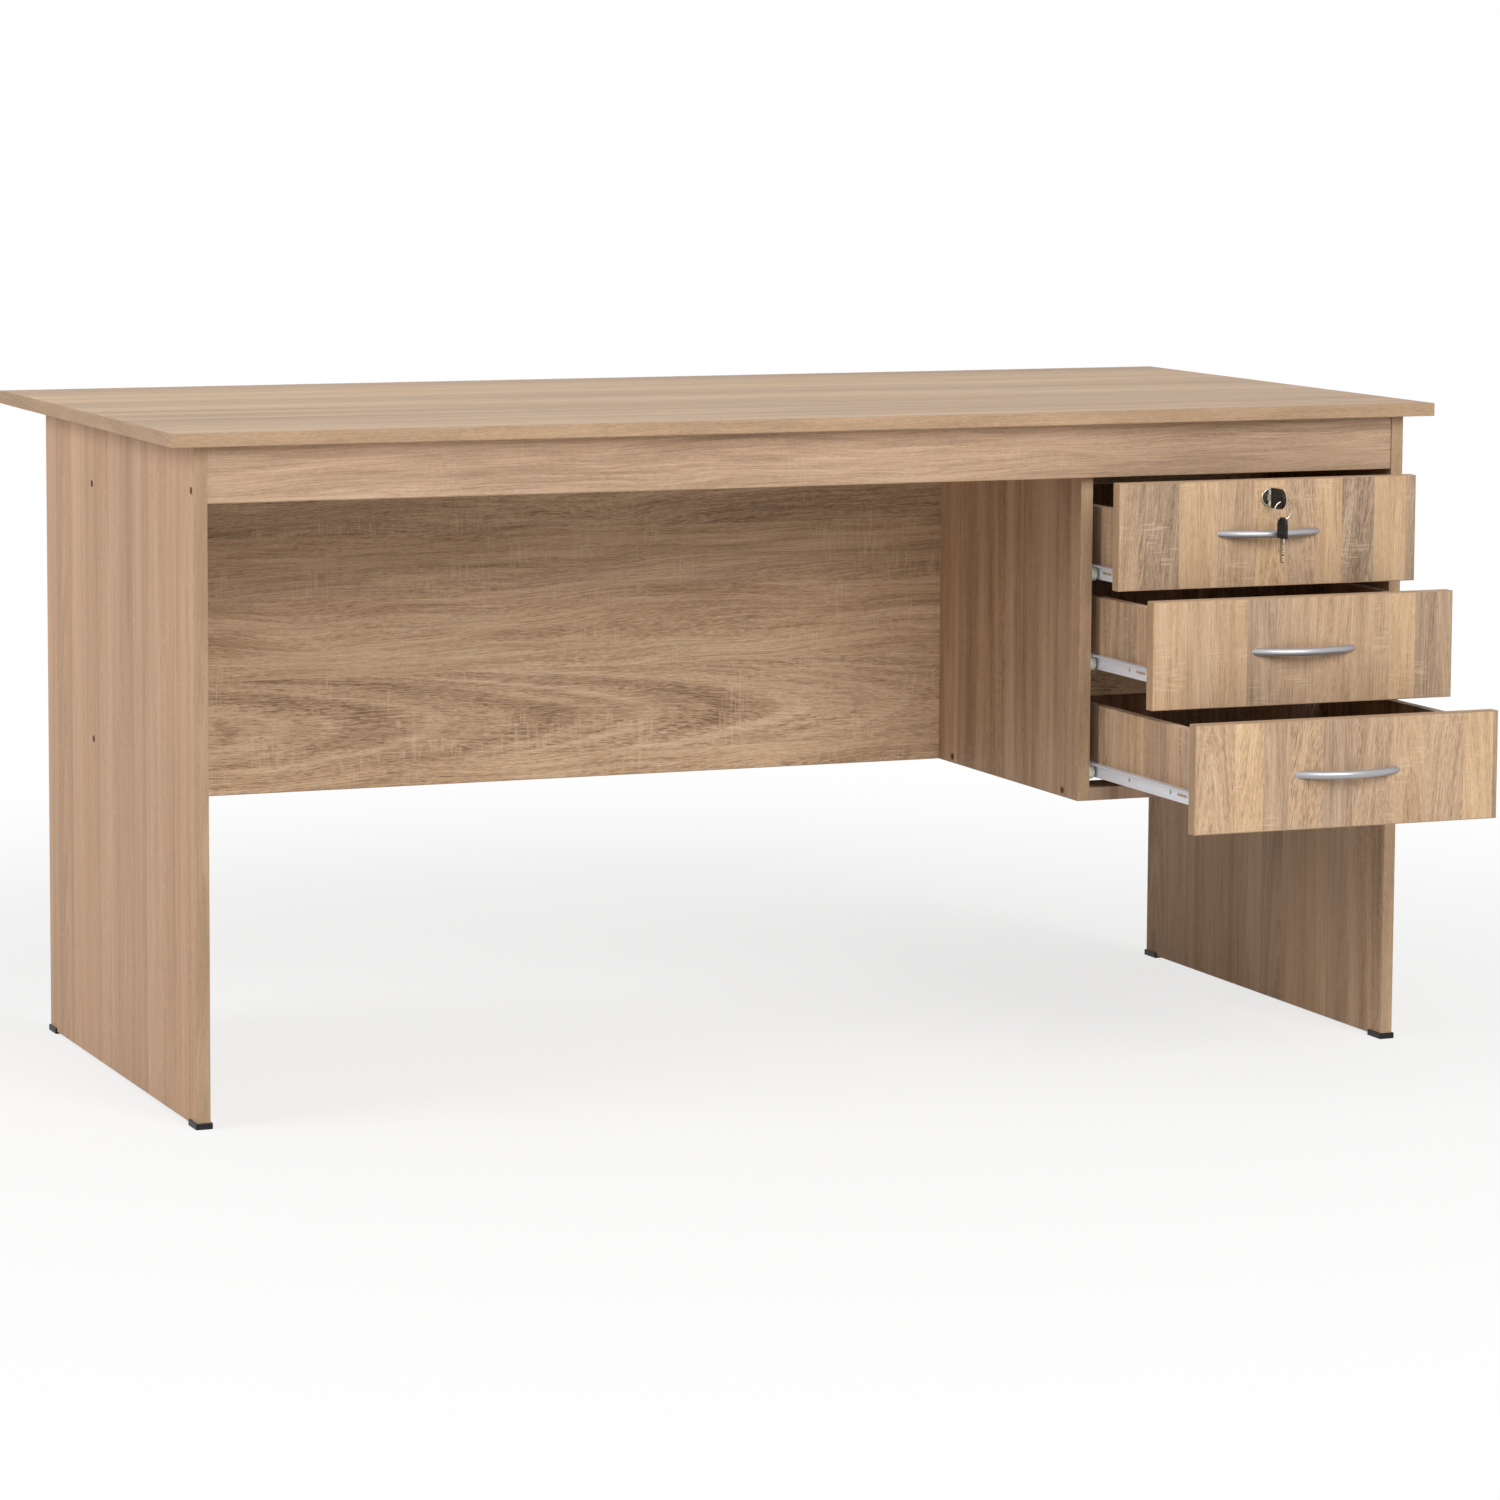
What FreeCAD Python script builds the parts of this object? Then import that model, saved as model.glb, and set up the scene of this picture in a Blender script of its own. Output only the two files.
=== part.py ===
import FreeCAD, Part
import os
import re

# An office desk built from faced board, with a hanging pedestal of three drawers on its right.
# X runs to the right, Y to the back and Z up. The origin is on the floor under the middle of the top.
# The drawers stand open by shares of their depth, the top one least and the bottom one most.

# Driving sizes in millimetres. Each becomes one cell of the sheet.
SIZES = {
    # Top and boards
    "top_length": 1520,
    "top_depth": 725,
    "desk_height": 750,
    "board": 15,
    "side_overhang": 30,
    "front_overhang": 20,
    "back_overhang": 100,
    "top_edge": 2,
    "panel_edge": 1,
    # Rails
    "rail_height": 62,
    "rail_setback": 2,
    "pedestal_rail_width": 54,
    # Feet, plastic caps on the lower corners of the end panels
    "foot_base": 3,
    "foot_height": 7,
    "foot_wall": 2,
    "foot_length": 30,
    # Drawer fronts and the bay they close
    "drawer_bay": 377,
    "front_height": 122,
    "front_board": 15,
    "front_gap": 3,
    "head_gap": 2,
    "front_toe": 1,
    "front_overlap": 7,
    "front_side_gap": 3,
    "closing_gap": 1,
    # Drawer boxes
    "box_depth": 350,
    "box_side": 12,
    "top_box_lift": 6,
    "top_box_drop": 34,
    "lower_box_lift": 27.5,
    "lower_box_drop": 12.5,
    "bottom_sheet": 3,
    "groove_rise": 12,
    "groove_depth": 6,
    "rear_room": 31.5,
    # Roller runners
    "runner_gap": 12.5,
    "runner_sheet": 1.2,
    "runner_web": 17,
    "runner_lip": 9,
    "runner_setback": 2,
    "channel_gap": 0.5,
    "roller_radius": 8.5,
    "roller_inset": 10,
    "roller_bay": 20,
    "roller_play": 0.5,
    "roller_gap": 0.3,
    "axle_radius": 2.5,
    "axle_head": 1,
    "axle_head_radius": 4,
    "web_hole_radius": 2.5,
    "web_slot_length": 26,
    # Handles
    "bow_half": 58,
    "bow_rise": 16.5,
    "bow_radius": 4.4,
    "handle_half_pitch": 48,
    "handle_boss_radius": 3.6,
    # Lock
    "lock_drop": 20.6,
    "rosette_radius": 11,
    "rosette_depth": 2.4,
    "barrel_radius": 9,
    "barrel_proud": 1,
    "plug_radius": 6,
    "plug_proud": 1.4,
    "case_width": 40,
    "case_depth": 14,
    "case_wall": 2,
    "case_below": 16,
    "case_top_gap": 2,
    "disc_radius": 8.5,
    "disc_depth": 2,
    "pin_radius": 1.5,
    "pin_orbit": 6.4,
    "pin_play": 0.4,
    "bolt_width": 22,
    "bolt_depth": 4,
    "bolt_web": 3,
    "bolt_top_gap": 1,
    "lock_play": 0.4,
    # Keys
    "key_sheet": 2,
    "key_height": 7,
    "key_depth": 15,
    "bow_start": 7,
    "bow_plate": 3.5,
    "bow_height": 23,
    "bow_reach": 37,
    "bow_seat": 6,
    "ring_hole_radius": 3,
    "ring_hole_reach": 32.5,
    "ring_radius": 10.5,
    "ring_wire": 0.7,
    "ring_gap": 0.3,
    "spare_width": 19,
    "spare_length": 24,
    "spare_rim": 2,
    "spare_blade": 28,
    # Fasteners
    "panel_screw_radius": 2.5,
    "panel_screw_head": 3.6,
    "panel_screw_head_depth": 3,
    "panel_screw_length": 50,
    "rail_screw_rise": 14,
    "modesty_screw_inset": 72,
    "foot_rail_screw_inset": 40,
    "cap_radius": 4,
    "cap_depth": 0.6,
    "dowel_radius": 4,
    "dowel_long": 20,
    "dowel_short": 9,
    "dowel_inset": 60,
    "peg_radius": 3,
    "peg_long": 15,
    "wood_screw_radius": 1.75,
    "wood_screw_head": 3.4,
    "wood_screw_length": 11,
    "box_screw_length": 32,
    "box_screw_head_depth": 2,
    "handle_screw_radius": 2,
    "handle_screw_head": 4,
    "handle_screw_head_depth": 2.4,
    "handle_screw_bite": 5,
    "bracket_leg": 30,
    "bracket_width": 25,
    "bracket_sheet": 2,
    "bracket_inset": 40,
    # Clearances
    "fit": 0.05,
    "overrun": 2,
}

DRAWERS = ("top", "middle", "bottom")

# How far each drawer stands open, as a share of its box's depth.
OPEN_SHARES = (0.183, 0.434, 0.734)

# Places along a board or runner, as shares of its length.
TOP_DOWEL_SHARES = (-0.3, 0, 0.3)
BRACKET_SHARES = (-0.25, 0.25)
PEDESTAL_SCREW_SHARES = (0.2, 0.8)
RUNNER_SCREW_SHARES = (0.2, 0.5, 0.8)
WEB_HOLE_SHARES = (0.223, 0.513, 0.78)
WEB_SLOT_SHARES = (0.143, 0.88)
PEG_SHARES = (0.35, 0.8)
BOX_SCREW_SHARES = (0.45, 0.85)

# Places worked out from the sizes, as expressions.
FLOOR = "0"
TOP_UNDER = "(desk_height - board)"
PANEL_FRONT = "(front_overhang - top_depth / 2)"
PANEL_BACK = "(top_depth / 2 - back_overhang)"
PANEL_OUT = "(top_length / 2 - side_overhang)"
PANEL_IN = f"({PANEL_OUT} - board)"
PANEL_MID = f"({PANEL_OUT} - board / 2)"
RAIL_FRONT = f"({PANEL_FRONT} + rail_setback)"
RAIL_BACK = f"({RAIL_FRONT} + board)"
RAIL_MID = f"({RAIL_FRONT} + board / 2)"
RAIL_FOOT = f"({TOP_UNDER} - rail_height)"
FRONTS_TOP = f"({RAIL_FOOT} - head_gap)"
PEDESTAL_FOOT = f"({FRONTS_TOP} - {len(DRAWERS)} * (front_height + front_gap) + front_gap + front_toe)"
BAY_LEFT = f"({PANEL_IN} - drawer_bay)"
PEDESTAL_LEFT = f"({BAY_LEFT} - board)"
PEDESTAL_MID = f"({BAY_LEFT} - board / 2)"
FRONT_LEFT = f"({BAY_LEFT} - front_overlap)"
FRONT_RIGHT = f"({PANEL_IN} - front_side_gap)"
FRONT_MID = f"(({FRONT_LEFT} + {FRONT_RIGHT}) / 2)"
BOX_LEFT = f"({BAY_LEFT} + runner_gap)"
BOX_RIGHT = f"({PANEL_IN} - runner_gap)"
CLOSED_BACK = f"({RAIL_BACK} - closing_gap)"
MODESTY_FRONT = f"({CLOSED_BACK} + box_depth + rear_room)"
MODESTY_BACK = f"({MODESTY_FRONT} + board)"
MODESTY_MID = f"({MODESTY_FRONT} + board / 2)"

# Axis turns that lay a round bar, which starts upright, along X, Y or Z.
UP = FreeCAD.Vector(0, 0, 1)
TURNS = {
    "x": FreeCAD.Rotation(UP, FreeCAD.Vector(1, 0, 0)),
    "y": FreeCAD.Rotation(UP, FreeCAD.Vector(0, 1, 0)),
    "z": FreeCAD.Rotation(),
}

doc = FreeCAD.newDocument("OfficeDesk")
sheet = doc.addObject("Spreadsheet::Sheet", "Sizes")
nodes = []
holes = {}


def fill_sheet():
    """Write each driving size into its own named cell."""
    for row, (name, value) in enumerate(SIZES.items(), start=1):
        sheet.set(f"A{row}", name)
        sheet.set(f"B{row}", str(value))
        sheet.setAlias(f"B{row}", name)
    doc.recompute()


def bind(item, prop, expression):
    """Tie a property to the sheet, with each size name read from its cell."""
    words = r"\b[a-z][a-z_]*\b"
    tied = re.sub(words, lambda word: f"Sizes.{word[0]}" if word[0] in SIZES else word[0], expression)
    item.setExpression(prop, tied)


def plus(place, *steps):
    """A place moved by each step, as an expression."""
    return "(" + " + ".join([place] + [f"({step})" for step in steps]) + ")"


def minus(place, *steps):
    """A place moved back by each step, as an expression."""
    return "(" + " - ".join([place] + [f"({step})" for step in steps]) + ")"


def between(low, high, share):
    """The place at a share of the way from low to high."""
    return f"({low} + ({high} - {low}) * {share})"


def around(middle, half):
    """The span that reaches half to each side of its middle."""
    return minus(middle, half), plus(middle, half)


def reach(face, way, length):
    """The span of a length that starts at a face and runs one way along its axis."""
    return (face, plus(face, length)) if way > 0 else (minus(face, length), face)


def box(name, x, y, z):
    """A block between two places on each axis."""
    block = doc.addObject("Part::Box", name)
    for prop, letter, (low, high) in zip(("Length", "Width", "Height"), "xyz", (x, y, z)):
        bind(block, prop, f"({high}) - ({low})")
        bind(block, f"Placement.Base.{letter}", low)
    return block


def place(item, letters, places):
    """Tie an item's position to one expression for each letter."""
    for letter, spot in zip(letters, places):
        bind(item, f"Placement.Base.{letter}", spot)


def rod(name, axis, span, at, radius):
    """A round bar along one axis. The other two coordinates come in axis order."""
    low, high = span
    bar = doc.addObject("Part::Cylinder", name)
    bar.Placement = FreeCAD.Placement(FreeCAD.Vector(), TURNS[axis])
    bind(bar, "Radius", radius)
    bind(bar, "Height", f"({high}) - ({low})")
    spots = list(at)
    spots.insert("xyz".index(axis), low)
    place(bar, "xyz", spots)
    return bar


def ring(name, axis, centre, radius, wire):
    """A round ring about one axis."""
    loop = doc.addObject("Part::Torus", name)
    loop.Placement = FreeCAD.Placement(FreeCAD.Vector(), TURNS[axis])
    bind(loop, "Radius1", radius)
    bind(loop, "Radius2", wire)
    place(loop, "xyz", centre)
    return loop


def fuse(name, members):
    """Several shapes joined into one solid."""
    joined = doc.addObject("Part::MultiFuse", name)
    joined.Shapes = members
    return joined


def group(name, members):
    """Several separate solids under one name."""
    bundle = doc.addObject("Part::Compound", name)
    bundle.Links = members
    return bundle


def common(name, first, second):
    """The space that two shapes share."""
    shared = doc.addObject("Part::Common", name)
    shared.Base = first
    shared.Tool = second
    return shared


def cut(name, base, tools):
    """A shape with the tools taken away."""
    left = doc.addObject("Part::Cut", name)
    left.Base = base
    left.Tool = tools[0] if len(tools) == 1 else fuse(f"{name}_tools", tools)
    return left


def drill(hosts, tool):
    """Note a tool that later cuts each of the named pieces."""
    for host in hosts:
        holes.setdefault(host, []).append(tool)


def node(label, item):
    """Cut a finished piece's holes and name it."""
    tools = holes.pop(label, [])
    finished = cut(f"{label}_drilled", item, tools) if tools else item
    finished.Label = label
    nodes.append(finished)


def bored_bar(name, axis, span, at, radius, hosts):
    """A round pin in a hole of its own size and clearance in each host."""
    low, high = span
    hole = rod(f"{name}_hole", axis, (minus(low, "fit"), plus(high, "fit")), at, plus(radius, "fit"))
    drill(hosts, hole)
    return rod(name, axis, span, at, radius)


def screw(name, axis, face, way, at, kind, length, head_depth, hosts):
    """A screw whose head ends at a face and whose shank runs one way, with its hole in each host."""
    radius = f"{kind}_radius"
    head = f"{kind}_head"
    shank = rod(f"{name}_shank", axis, reach(face, way, length), at, radius)
    cap = rod(f"{name}_head", axis, reach(face, way, head_depth), at, head)
    outside = minus(face, "overrun") if way > 0 else plus(face, "overrun")
    deep = plus(length, "fit", "overrun")
    sunk = plus(head_depth, "overrun")
    bore = rod(f"{name}_bore", axis, reach(outside, way, deep), at, plus(radius, "fit"))
    seat = rod(f"{name}_seat", axis, reach(outside, way, sunk), at, plus(head, "fit"))
    drill(hosts, fuse(f"{name}_hole", [bore, seat]))
    return fuse(name, [shank, cap])


def sides():
    """The left and right sides: a name, the sign of X and which way is inwards."""
    return (("left", "-", 1), ("right", "", -1))


def panel_screws():
    """The long screws that hold the boards, and the caps on those that show."""
    screws = []
    caps = []

    def across(name, face, way, y, z, hosts):
        at = (y, z)
        screws.append(screw(name, "x", face, way, at, "panel_screw", "panel_screw_length",
                            "panel_screw_head_depth", hosts))
        caps.append(rod(f"{name}_cap", "x", reach(face, -way, "cap_depth"), at, "cap_radius"))

    low_modesty = plus(PEDESTAL_FOOT, "modesty_screw_inset")
    high_modesty = minus(TOP_UNDER, "modesty_screw_inset")
    for side, sign, way in sides():
        face = f"({sign}{PANEL_OUT})"
        panel = f"{side}_end_panel"
        across(f"{side}_rail_screw", face, way, RAIL_MID, plus(RAIL_FOOT, "rail_screw_rise"),
               (panel, "front_rail"))
        across(f"{side}_low_screw", face, way, MODESTY_MID, low_modesty, (panel, "modesty_panel"))
        across(f"{side}_high_screw", face, way, MODESTY_MID, high_modesty, (panel, "modesty_panel"))
    rail_middle = plus(PEDESTAL_FOOT, "board / 2")
    rail_places = {
        "front": plus(RAIL_BACK, "foot_rail_screw_inset"),
        "rear": minus(MODESTY_FRONT, "foot_rail_screw_inset"),
    }
    for end, y in rail_places.items():
        across(f"pedestal_{end}_screw", PEDESTAL_LEFT, 1, y, rail_middle,
               ("pedestal_side_panel", "pedestal_rails"))
        across(f"panel_{end}_screw", PANEL_OUT, -1, y, rail_middle, ("right_end_panel", "pedestal_rails"))
    for index, share in enumerate(PEDESTAL_SCREW_SHARES):
        z = between(PEDESTAL_FOOT, TOP_UNDER, share)
        screws.append(screw(f"back_screw_{index}", "y", MODESTY_BACK, -1, (PEDESTAL_MID, z), "panel_screw",
                            "panel_screw_length", "panel_screw_head_depth",
                            ("modesty_panel", "pedestal_side_panel")))
    return screws, caps


def dowels():
    """The wooden dowels that locate the top and the rail."""
    pins = []
    upright = (minus(TOP_UNDER, "dowel_long"), plus(TOP_UNDER, "dowel_short"))

    def top_dowel(name, x, y, host):
        pins.append(bored_bar(name, "z", upright, (x, y), "dowel_radius", ("desktop_board", host)))

    for side, sign, _ in sides():
        x = f"({sign}{PANEL_MID})"
        top_dowel(f"{side}_front_dowel", x, plus(PANEL_FRONT, "dowel_inset"), f"{side}_end_panel")
        top_dowel(f"{side}_rear_dowel", x, minus(PANEL_BACK, "dowel_inset"), f"{side}_end_panel")
    for index, share in enumerate(TOP_DOWEL_SHARES):
        top_dowel(f"modesty_dowel_{index}", f"(top_length * {share})", MODESTY_MID, "modesty_panel")
    top_dowel("pedestal_front_dowel", PEDESTAL_MID, plus(RAIL_BACK, "dowel_inset"), "pedestal_side_panel")
    top_dowel("pedestal_rear_dowel", PEDESTAL_MID, minus(MODESTY_FRONT, "dowel_inset"),
              "pedestal_side_panel")
    level = (minus(RAIL_BACK, "dowel_short"), plus(RAIL_BACK, "dowel_long"))
    middle = plus(RAIL_FOOT, "rail_height / 2")
    pins.append(bored_bar("rail_dowel", "y", level, (PEDESTAL_MID, middle), "dowel_radius",
                          ("front_rail", "pedestal_side_panel", "desk_edging")))
    return pins


def bracket(name, axis, face, way, along, host):
    """A steel angle under the top, on a face that looks along X or Y, and its two screws."""
    out = reach(face, way, "bracket_leg")
    thin = reach(face, way, "bracket_sheet")
    wide = around(along, "bracket_width / 2")
    tall = (minus(TOP_UNDER, "bracket_leg"), TOP_UNDER)
    flat = (minus(TOP_UNDER, "bracket_sheet"), TOP_UNDER)
    order = (lambda depth: (depth, wide)) if axis == "x" else (lambda depth: (wide, depth))
    legs = [box(f"{name}_wall_leg", *order(thin), tall), box(f"{name}_top_leg", *order(out), flat)]
    middle_out = plus(face, "bracket_leg / 2") if way > 0 else minus(face, "bracket_leg / 2")
    wall_face = plus(face, "bracket_sheet") if way > 0 else minus(face, "bracket_sheet")
    wall_z = minus(TOP_UNDER, "bracket_leg / 2", "bracket_sheet")
    up_at = (middle_out, along) if axis == "x" else (along, middle_out)
    screws = [
        screw(f"{name}_top_screw", "z", minus(TOP_UNDER, "bracket_sheet"), 1, up_at, "wood_screw",
              "wood_screw_length", "bracket_sheet", ("corner_brackets", "desktop_board")),
        screw(f"{name}_wall_screw", axis, wall_face, -way, (along, wall_z), "wood_screw",
              "wood_screw_length", "bracket_sheet", ("corner_brackets", host)),
    ]
    return fuse(name, legs), screws


def brackets():
    """The steel angles that hold the top down."""
    angles = []
    screws = []
    spots = []
    bay_middle = f"(({RAIL_BACK} + {MODESTY_FRONT}) / 2)"
    behind = plus(MODESTY_BACK, "bracket_inset")
    for side, sign, way in sides():
        face = f"({sign}{PANEL_IN})"
        spots.append((f"{side}_front_bracket", "x", face, way, bay_middle, f"{side}_end_panel"))
        spots.append((f"{side}_rear_bracket", "x", face, way, behind, f"{side}_end_panel"))
    for index, share in enumerate(BRACKET_SHARES):
        along = f"(top_length * {share})"
        spots.append((f"back_bracket_{index}", "y", MODESTY_BACK, 1, along, "modesty_panel"))
    for spot in spots:
        angle, pair = bracket(*spot)
        angles.append(angle)
        screws += pair
    return angles, screws


def desktop():
    """The worktop board inside its edge strips."""
    half_x = "(top_length / 2)"
    half_y = "(top_depth / 2)"
    inner_x = "(top_length / 2 - top_edge)"
    inner_y = "(top_depth / 2 - top_edge)"
    thick = (TOP_UNDER, "desk_height")
    board = box("desktop_core", (f"-{inner_x}", inner_x), (f"-{inner_y}", inner_y), thick)
    full = (f"-{half_x}", half_x)
    short = (f"-{inner_y}", inner_y)
    strips = [
        box("top_front_strip", full, (f"-{half_y}", f"-{inner_y}"), thick),
        box("top_back_strip", full, (inner_y, half_y), thick),
        box("top_left_strip", (f"-{half_x}", f"-{inner_x}"), short, thick),
        box("top_right_strip", (inner_x, half_x), short, thick),
    ]
    return board, strips


def end_panel(side, sign):
    """One end panel with its strips and its two corner feet."""
    faces = (f"({sign}{PANEL_OUT})", f"({sign}{PANEL_IN})")
    x = faces if sign else faces[::-1]
    z = ("foot_base", TOP_UNDER)
    front_strip = (PANEL_FRONT, plus(PANEL_FRONT, "panel_edge"))
    back_strip = (minus(PANEL_BACK, "panel_edge"), PANEL_BACK)
    core = box(f"{side}_panel_core", x, (front_strip[1], back_strip[0]), z)
    strips = [
        box(f"{side}_panel_front_strip", x, front_strip, z),
        box(f"{side}_panel_back_strip", x, back_strip, z),
    ]
    wide = (minus(x[0], "foot_wall"), plus(x[1], "foot_wall"))
    feet = []
    for end, face, way in (("front", PANEL_FRONT, 1), ("rear", PANEL_BACK, -1)):
        outside = minus(face, "foot_wall") if way > 0 else plus(face, "foot_wall")
        length = reach(outside, way, "foot_length")
        body = box(f"{side}_{end}_foot_body", wide, length, (FLOOR, "foot_height"))
        pocket = box(f"{side}_{end}_foot_pocket", x, reach(face, way, "foot_length"),
                     ("foot_base", plus("foot_height", "overrun")))
        feet.append(cut(f"{side}_{end}_foot", body, [pocket]))
    return core, strips, feet


def carcass():
    """The fixed boards, their edge strips, feet and fasteners."""
    inside = (f"(-{PANEL_IN})", PANEL_IN)
    top_board, strips = desktop()
    boards = {"desktop_board": top_board}
    for side, sign, _ in sides():
        core, edges, feet = end_panel(side, sign)
        boards[f"{side}_end_panel"] = core
        strips += edges
        node(f"{side}_feet", group(f"{side}_foot_pair", feet))
    rail_depth = (RAIL_FRONT, RAIL_BACK)
    rail_lip = plus(RAIL_FOOT, "panel_edge")
    boards["front_rail"] = box("rail_core", inside, rail_depth, (rail_lip, TOP_UNDER))
    strips.append(box("rail_strip", inside, rail_depth, (RAIL_FOOT, rail_lip)))
    modesty_depth = (MODESTY_FRONT, MODESTY_BACK)
    hung_lip = plus(PEDESTAL_FOOT, "panel_edge")
    boards["modesty_panel"] = box("modesty_core", inside, modesty_depth, (hung_lip, TOP_UNDER))
    strips.append(box("modesty_strip", inside, modesty_depth, (PEDESTAL_FOOT, hung_lip)))
    thick = (PEDESTAL_LEFT, BAY_LEFT)
    core_front = plus(RAIL_BACK, "panel_edge")
    core_depth = (core_front, MODESTY_FRONT)
    boards["pedestal_side_panel"] = box("pedestal_core", thick, core_depth, (hung_lip, TOP_UNDER))
    strips.append(box("pedestal_front_strip", thick, (RAIL_BACK, core_front), (PEDESTAL_FOOT, TOP_UNDER)))
    strips.append(box("pedestal_foot_strip", thick, core_depth, (PEDESTAL_FOOT, hung_lip)))
    across = (BAY_LEFT, PANEL_IN)
    low = (PEDESTAL_FOOT, plus(PEDESTAL_FOOT, "board"))
    boards["pedestal_rails"] = group("pedestal_rail_pair", [
        box("pedestal_front_rail", across, reach(RAIL_BACK, 1, "pedestal_rail_width"), low),
        box("pedestal_rear_rail", across, reach(MODESTY_FRONT, -1, "pedestal_rail_width"), low),
    ])
    boards["desk_edging"] = group("desk_strips", strips)
    return boards


def slot(name, span, y, z, length, radius):
    """A tool for a slot with round ends through a sheet that stands square to X."""
    half = f"({length} / 2 - {radius})"
    ends = [rod(f"{name}_{end}", "x", span, (spot, z), radius) for end, spot in enumerate(around(y, half))]
    return fuse(name, ends + [box(f"{name}_middle", span, around(y, half), around(z, radius))])


def roller_levels(foot):
    """Heights of a runner pair above a drawer side's lower edge, by name."""
    web_foot = minus(foot, "runner_sheet")
    web_top = plus(web_foot, "runner_web")
    flange_foot = minus(web_top, "runner_sheet")
    drawer_axle = plus(web_foot, "runner_web / 2")
    return {
        "web_foot": web_foot,
        "web_top": web_top,
        "flange_foot": flange_foot,
        "cabinet_axle": minus(flange_foot, "roller_gap", "roller_radius"),
        "drawer_axle": drawer_axle,
        "track": minus(drawer_axle, "roller_radius", "roller_gap"),
        "roof": plus(web_top, "channel_gap"),
    }


ROLLER_WIDTH = "(runner_gap - 2 * runner_sheet - axle_head - 4 * roller_play)"


def roller_and_axle(name, face, way, y, z):
    """A roller, and the headed axle that stands out of a runner's web at a face."""
    far = plus("roller_play", ROLLER_WIDTH, "roller_play")
    near_side = plus(face, "roller_play") if way > 0 else minus(face, "roller_play")
    head_side = plus(face, far) if way > 0 else minus(face, far)
    axle = [
        rod(f"{name}_axle", "x", reach(face, way, far), (y, z), "axle_radius"),
        rod(f"{name}_axle_head", "x", reach(head_side, way, "axle_head"), (y, z), "axle_head_radius"),
    ]
    wheel = rod(f"{name}_wheel", "x", reach(near_side, way, ROLLER_WIDTH), (y, z), "roller_radius")
    bore_span = (minus(near_side, ROLLER_WIDTH, "overrun"), plus(near_side, ROLLER_WIDTH, "overrun"))
    bore = rod(f"{name}_bore", "x", bore_span, (y, z), plus("axle_radius", "fit"))
    return cut(f"{name}_roller", wheel, [bore]), axle


def cabinet_runner(drawer, side, wall, way, foot):
    """A fixed channel on one wall of the bay, with its front roller and fixing screws."""
    name = f"{drawer}_{side}_channel"
    levels = roller_levels(foot)
    front = plus(RAIL_BACK, "runner_setback")
    rear = plus(front, "box_depth")
    web_face = plus(wall, "runner_sheet") if way > 0 else minus(wall, "runner_sheet")
    flange_front = plus(front, "roller_bay")
    lips = reach(web_face, way, "runner_gap - 2 * runner_sheet - 3 * roller_play")
    web_x = reach(wall, way, "runner_sheet")
    track_foot = minus(levels["track"], "runner_sheet")
    roof_top = plus(levels["roof"], "runner_sheet")
    pieces = [
        box(f"{name}_web", web_x, (front, rear), (track_foot, roof_top)),
        box(f"{name}_track", lips, (flange_front, rear), (track_foot, levels["track"])),
        box(f"{name}_roof", lips, (flange_front, rear), (levels["roof"], roof_top)),
    ]
    axle_y = plus(front, "roller_inset")
    roller, axle = roller_and_axle(name, web_face, way, axle_y, levels["cabinet_axle"])
    host = "pedestal_side_panel" if side == "left" else "right_end_panel"
    screws = []
    for index, share in enumerate(RUNNER_SCREW_SHARES):
        at = (between(front, rear, share), levels["drawer_axle"])
        screws.append(screw(f"{name}_screw_{index}", "x", web_face, -way, at, "wood_screw",
                            "wood_screw_length", "runner_sheet", (f"{drawer}_cabinet_runners", host)))
    return fuse(name, pieces + axle), roller, screws


def drawer_runner(drawer, side, wall, way, foot, back, screws):
    """The runner on one drawer side, with its rear roller. Outwards is the way from the side's face."""
    name = f"{drawer}_{side}_runner"
    levels = roller_levels(foot)
    rear = plus(back, "box_depth")
    web_x = reach(wall, way, "runner_sheet")
    web_face = plus(wall, "runner_sheet") if way > 0 else minus(wall, "runner_sheet")
    flange = reach(web_face, way, "runner_gap - 2 * runner_sheet - 3 * roller_play")
    under = reach(web_face, -way, plus("runner_sheet", "runner_lip"))
    flange_rear = minus(rear, "roller_bay")
    pieces = [
        box(f"{name}_web", web_x, (back, rear), (levels["web_foot"], levels["web_top"])),
        box(f"{name}_flange", flange, (back, flange_rear), (levels["flange_foot"], levels["web_top"])),
        box(f"{name}_lip", under, (back, rear), (levels["web_foot"], foot)),
    ]
    axle_y = minus(rear, "roller_inset")
    roller, axle = roller_and_axle(name, web_face, way, axle_y, levels["drawer_axle"])
    through = around(wall, plus("runner_sheet", "fit"))
    z = levels["drawer_axle"]
    tools = []
    for index, share in enumerate(WEB_SLOT_SHARES):
        y = between(back, rear, share)
        tools.append(slot(f"{name}_slot_{index}", through, y, z, "web_slot_length", "web_hole_radius"))
    for index, share in enumerate(WEB_HOLE_SHARES):
        y = between(back, rear, share)
        tools.append(rod(f"{name}_hole_{index}", "x", through, (y, z), "web_hole_radius"))
    hosts = (f"{drawer}_drawer_runners", f"{drawer}_drawer_{side}_side")
    lip_middle = minus(wall, "runner_lip / 2") if way > 0 else plus(wall, "runner_lip / 2")
    for index, share in enumerate(RUNNER_SCREW_SHARES):
        at = (lip_middle, between(back, rear, share))
        screws.append(screw(f"{name}_screw_{index}", "z", levels["web_foot"], 1, at, "wood_screw",
                            "wood_screw_length", "runner_sheet", hosts))
    return cut(f"{name}_pierced", fuse(name, pieces + axle), tools), roller


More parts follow.
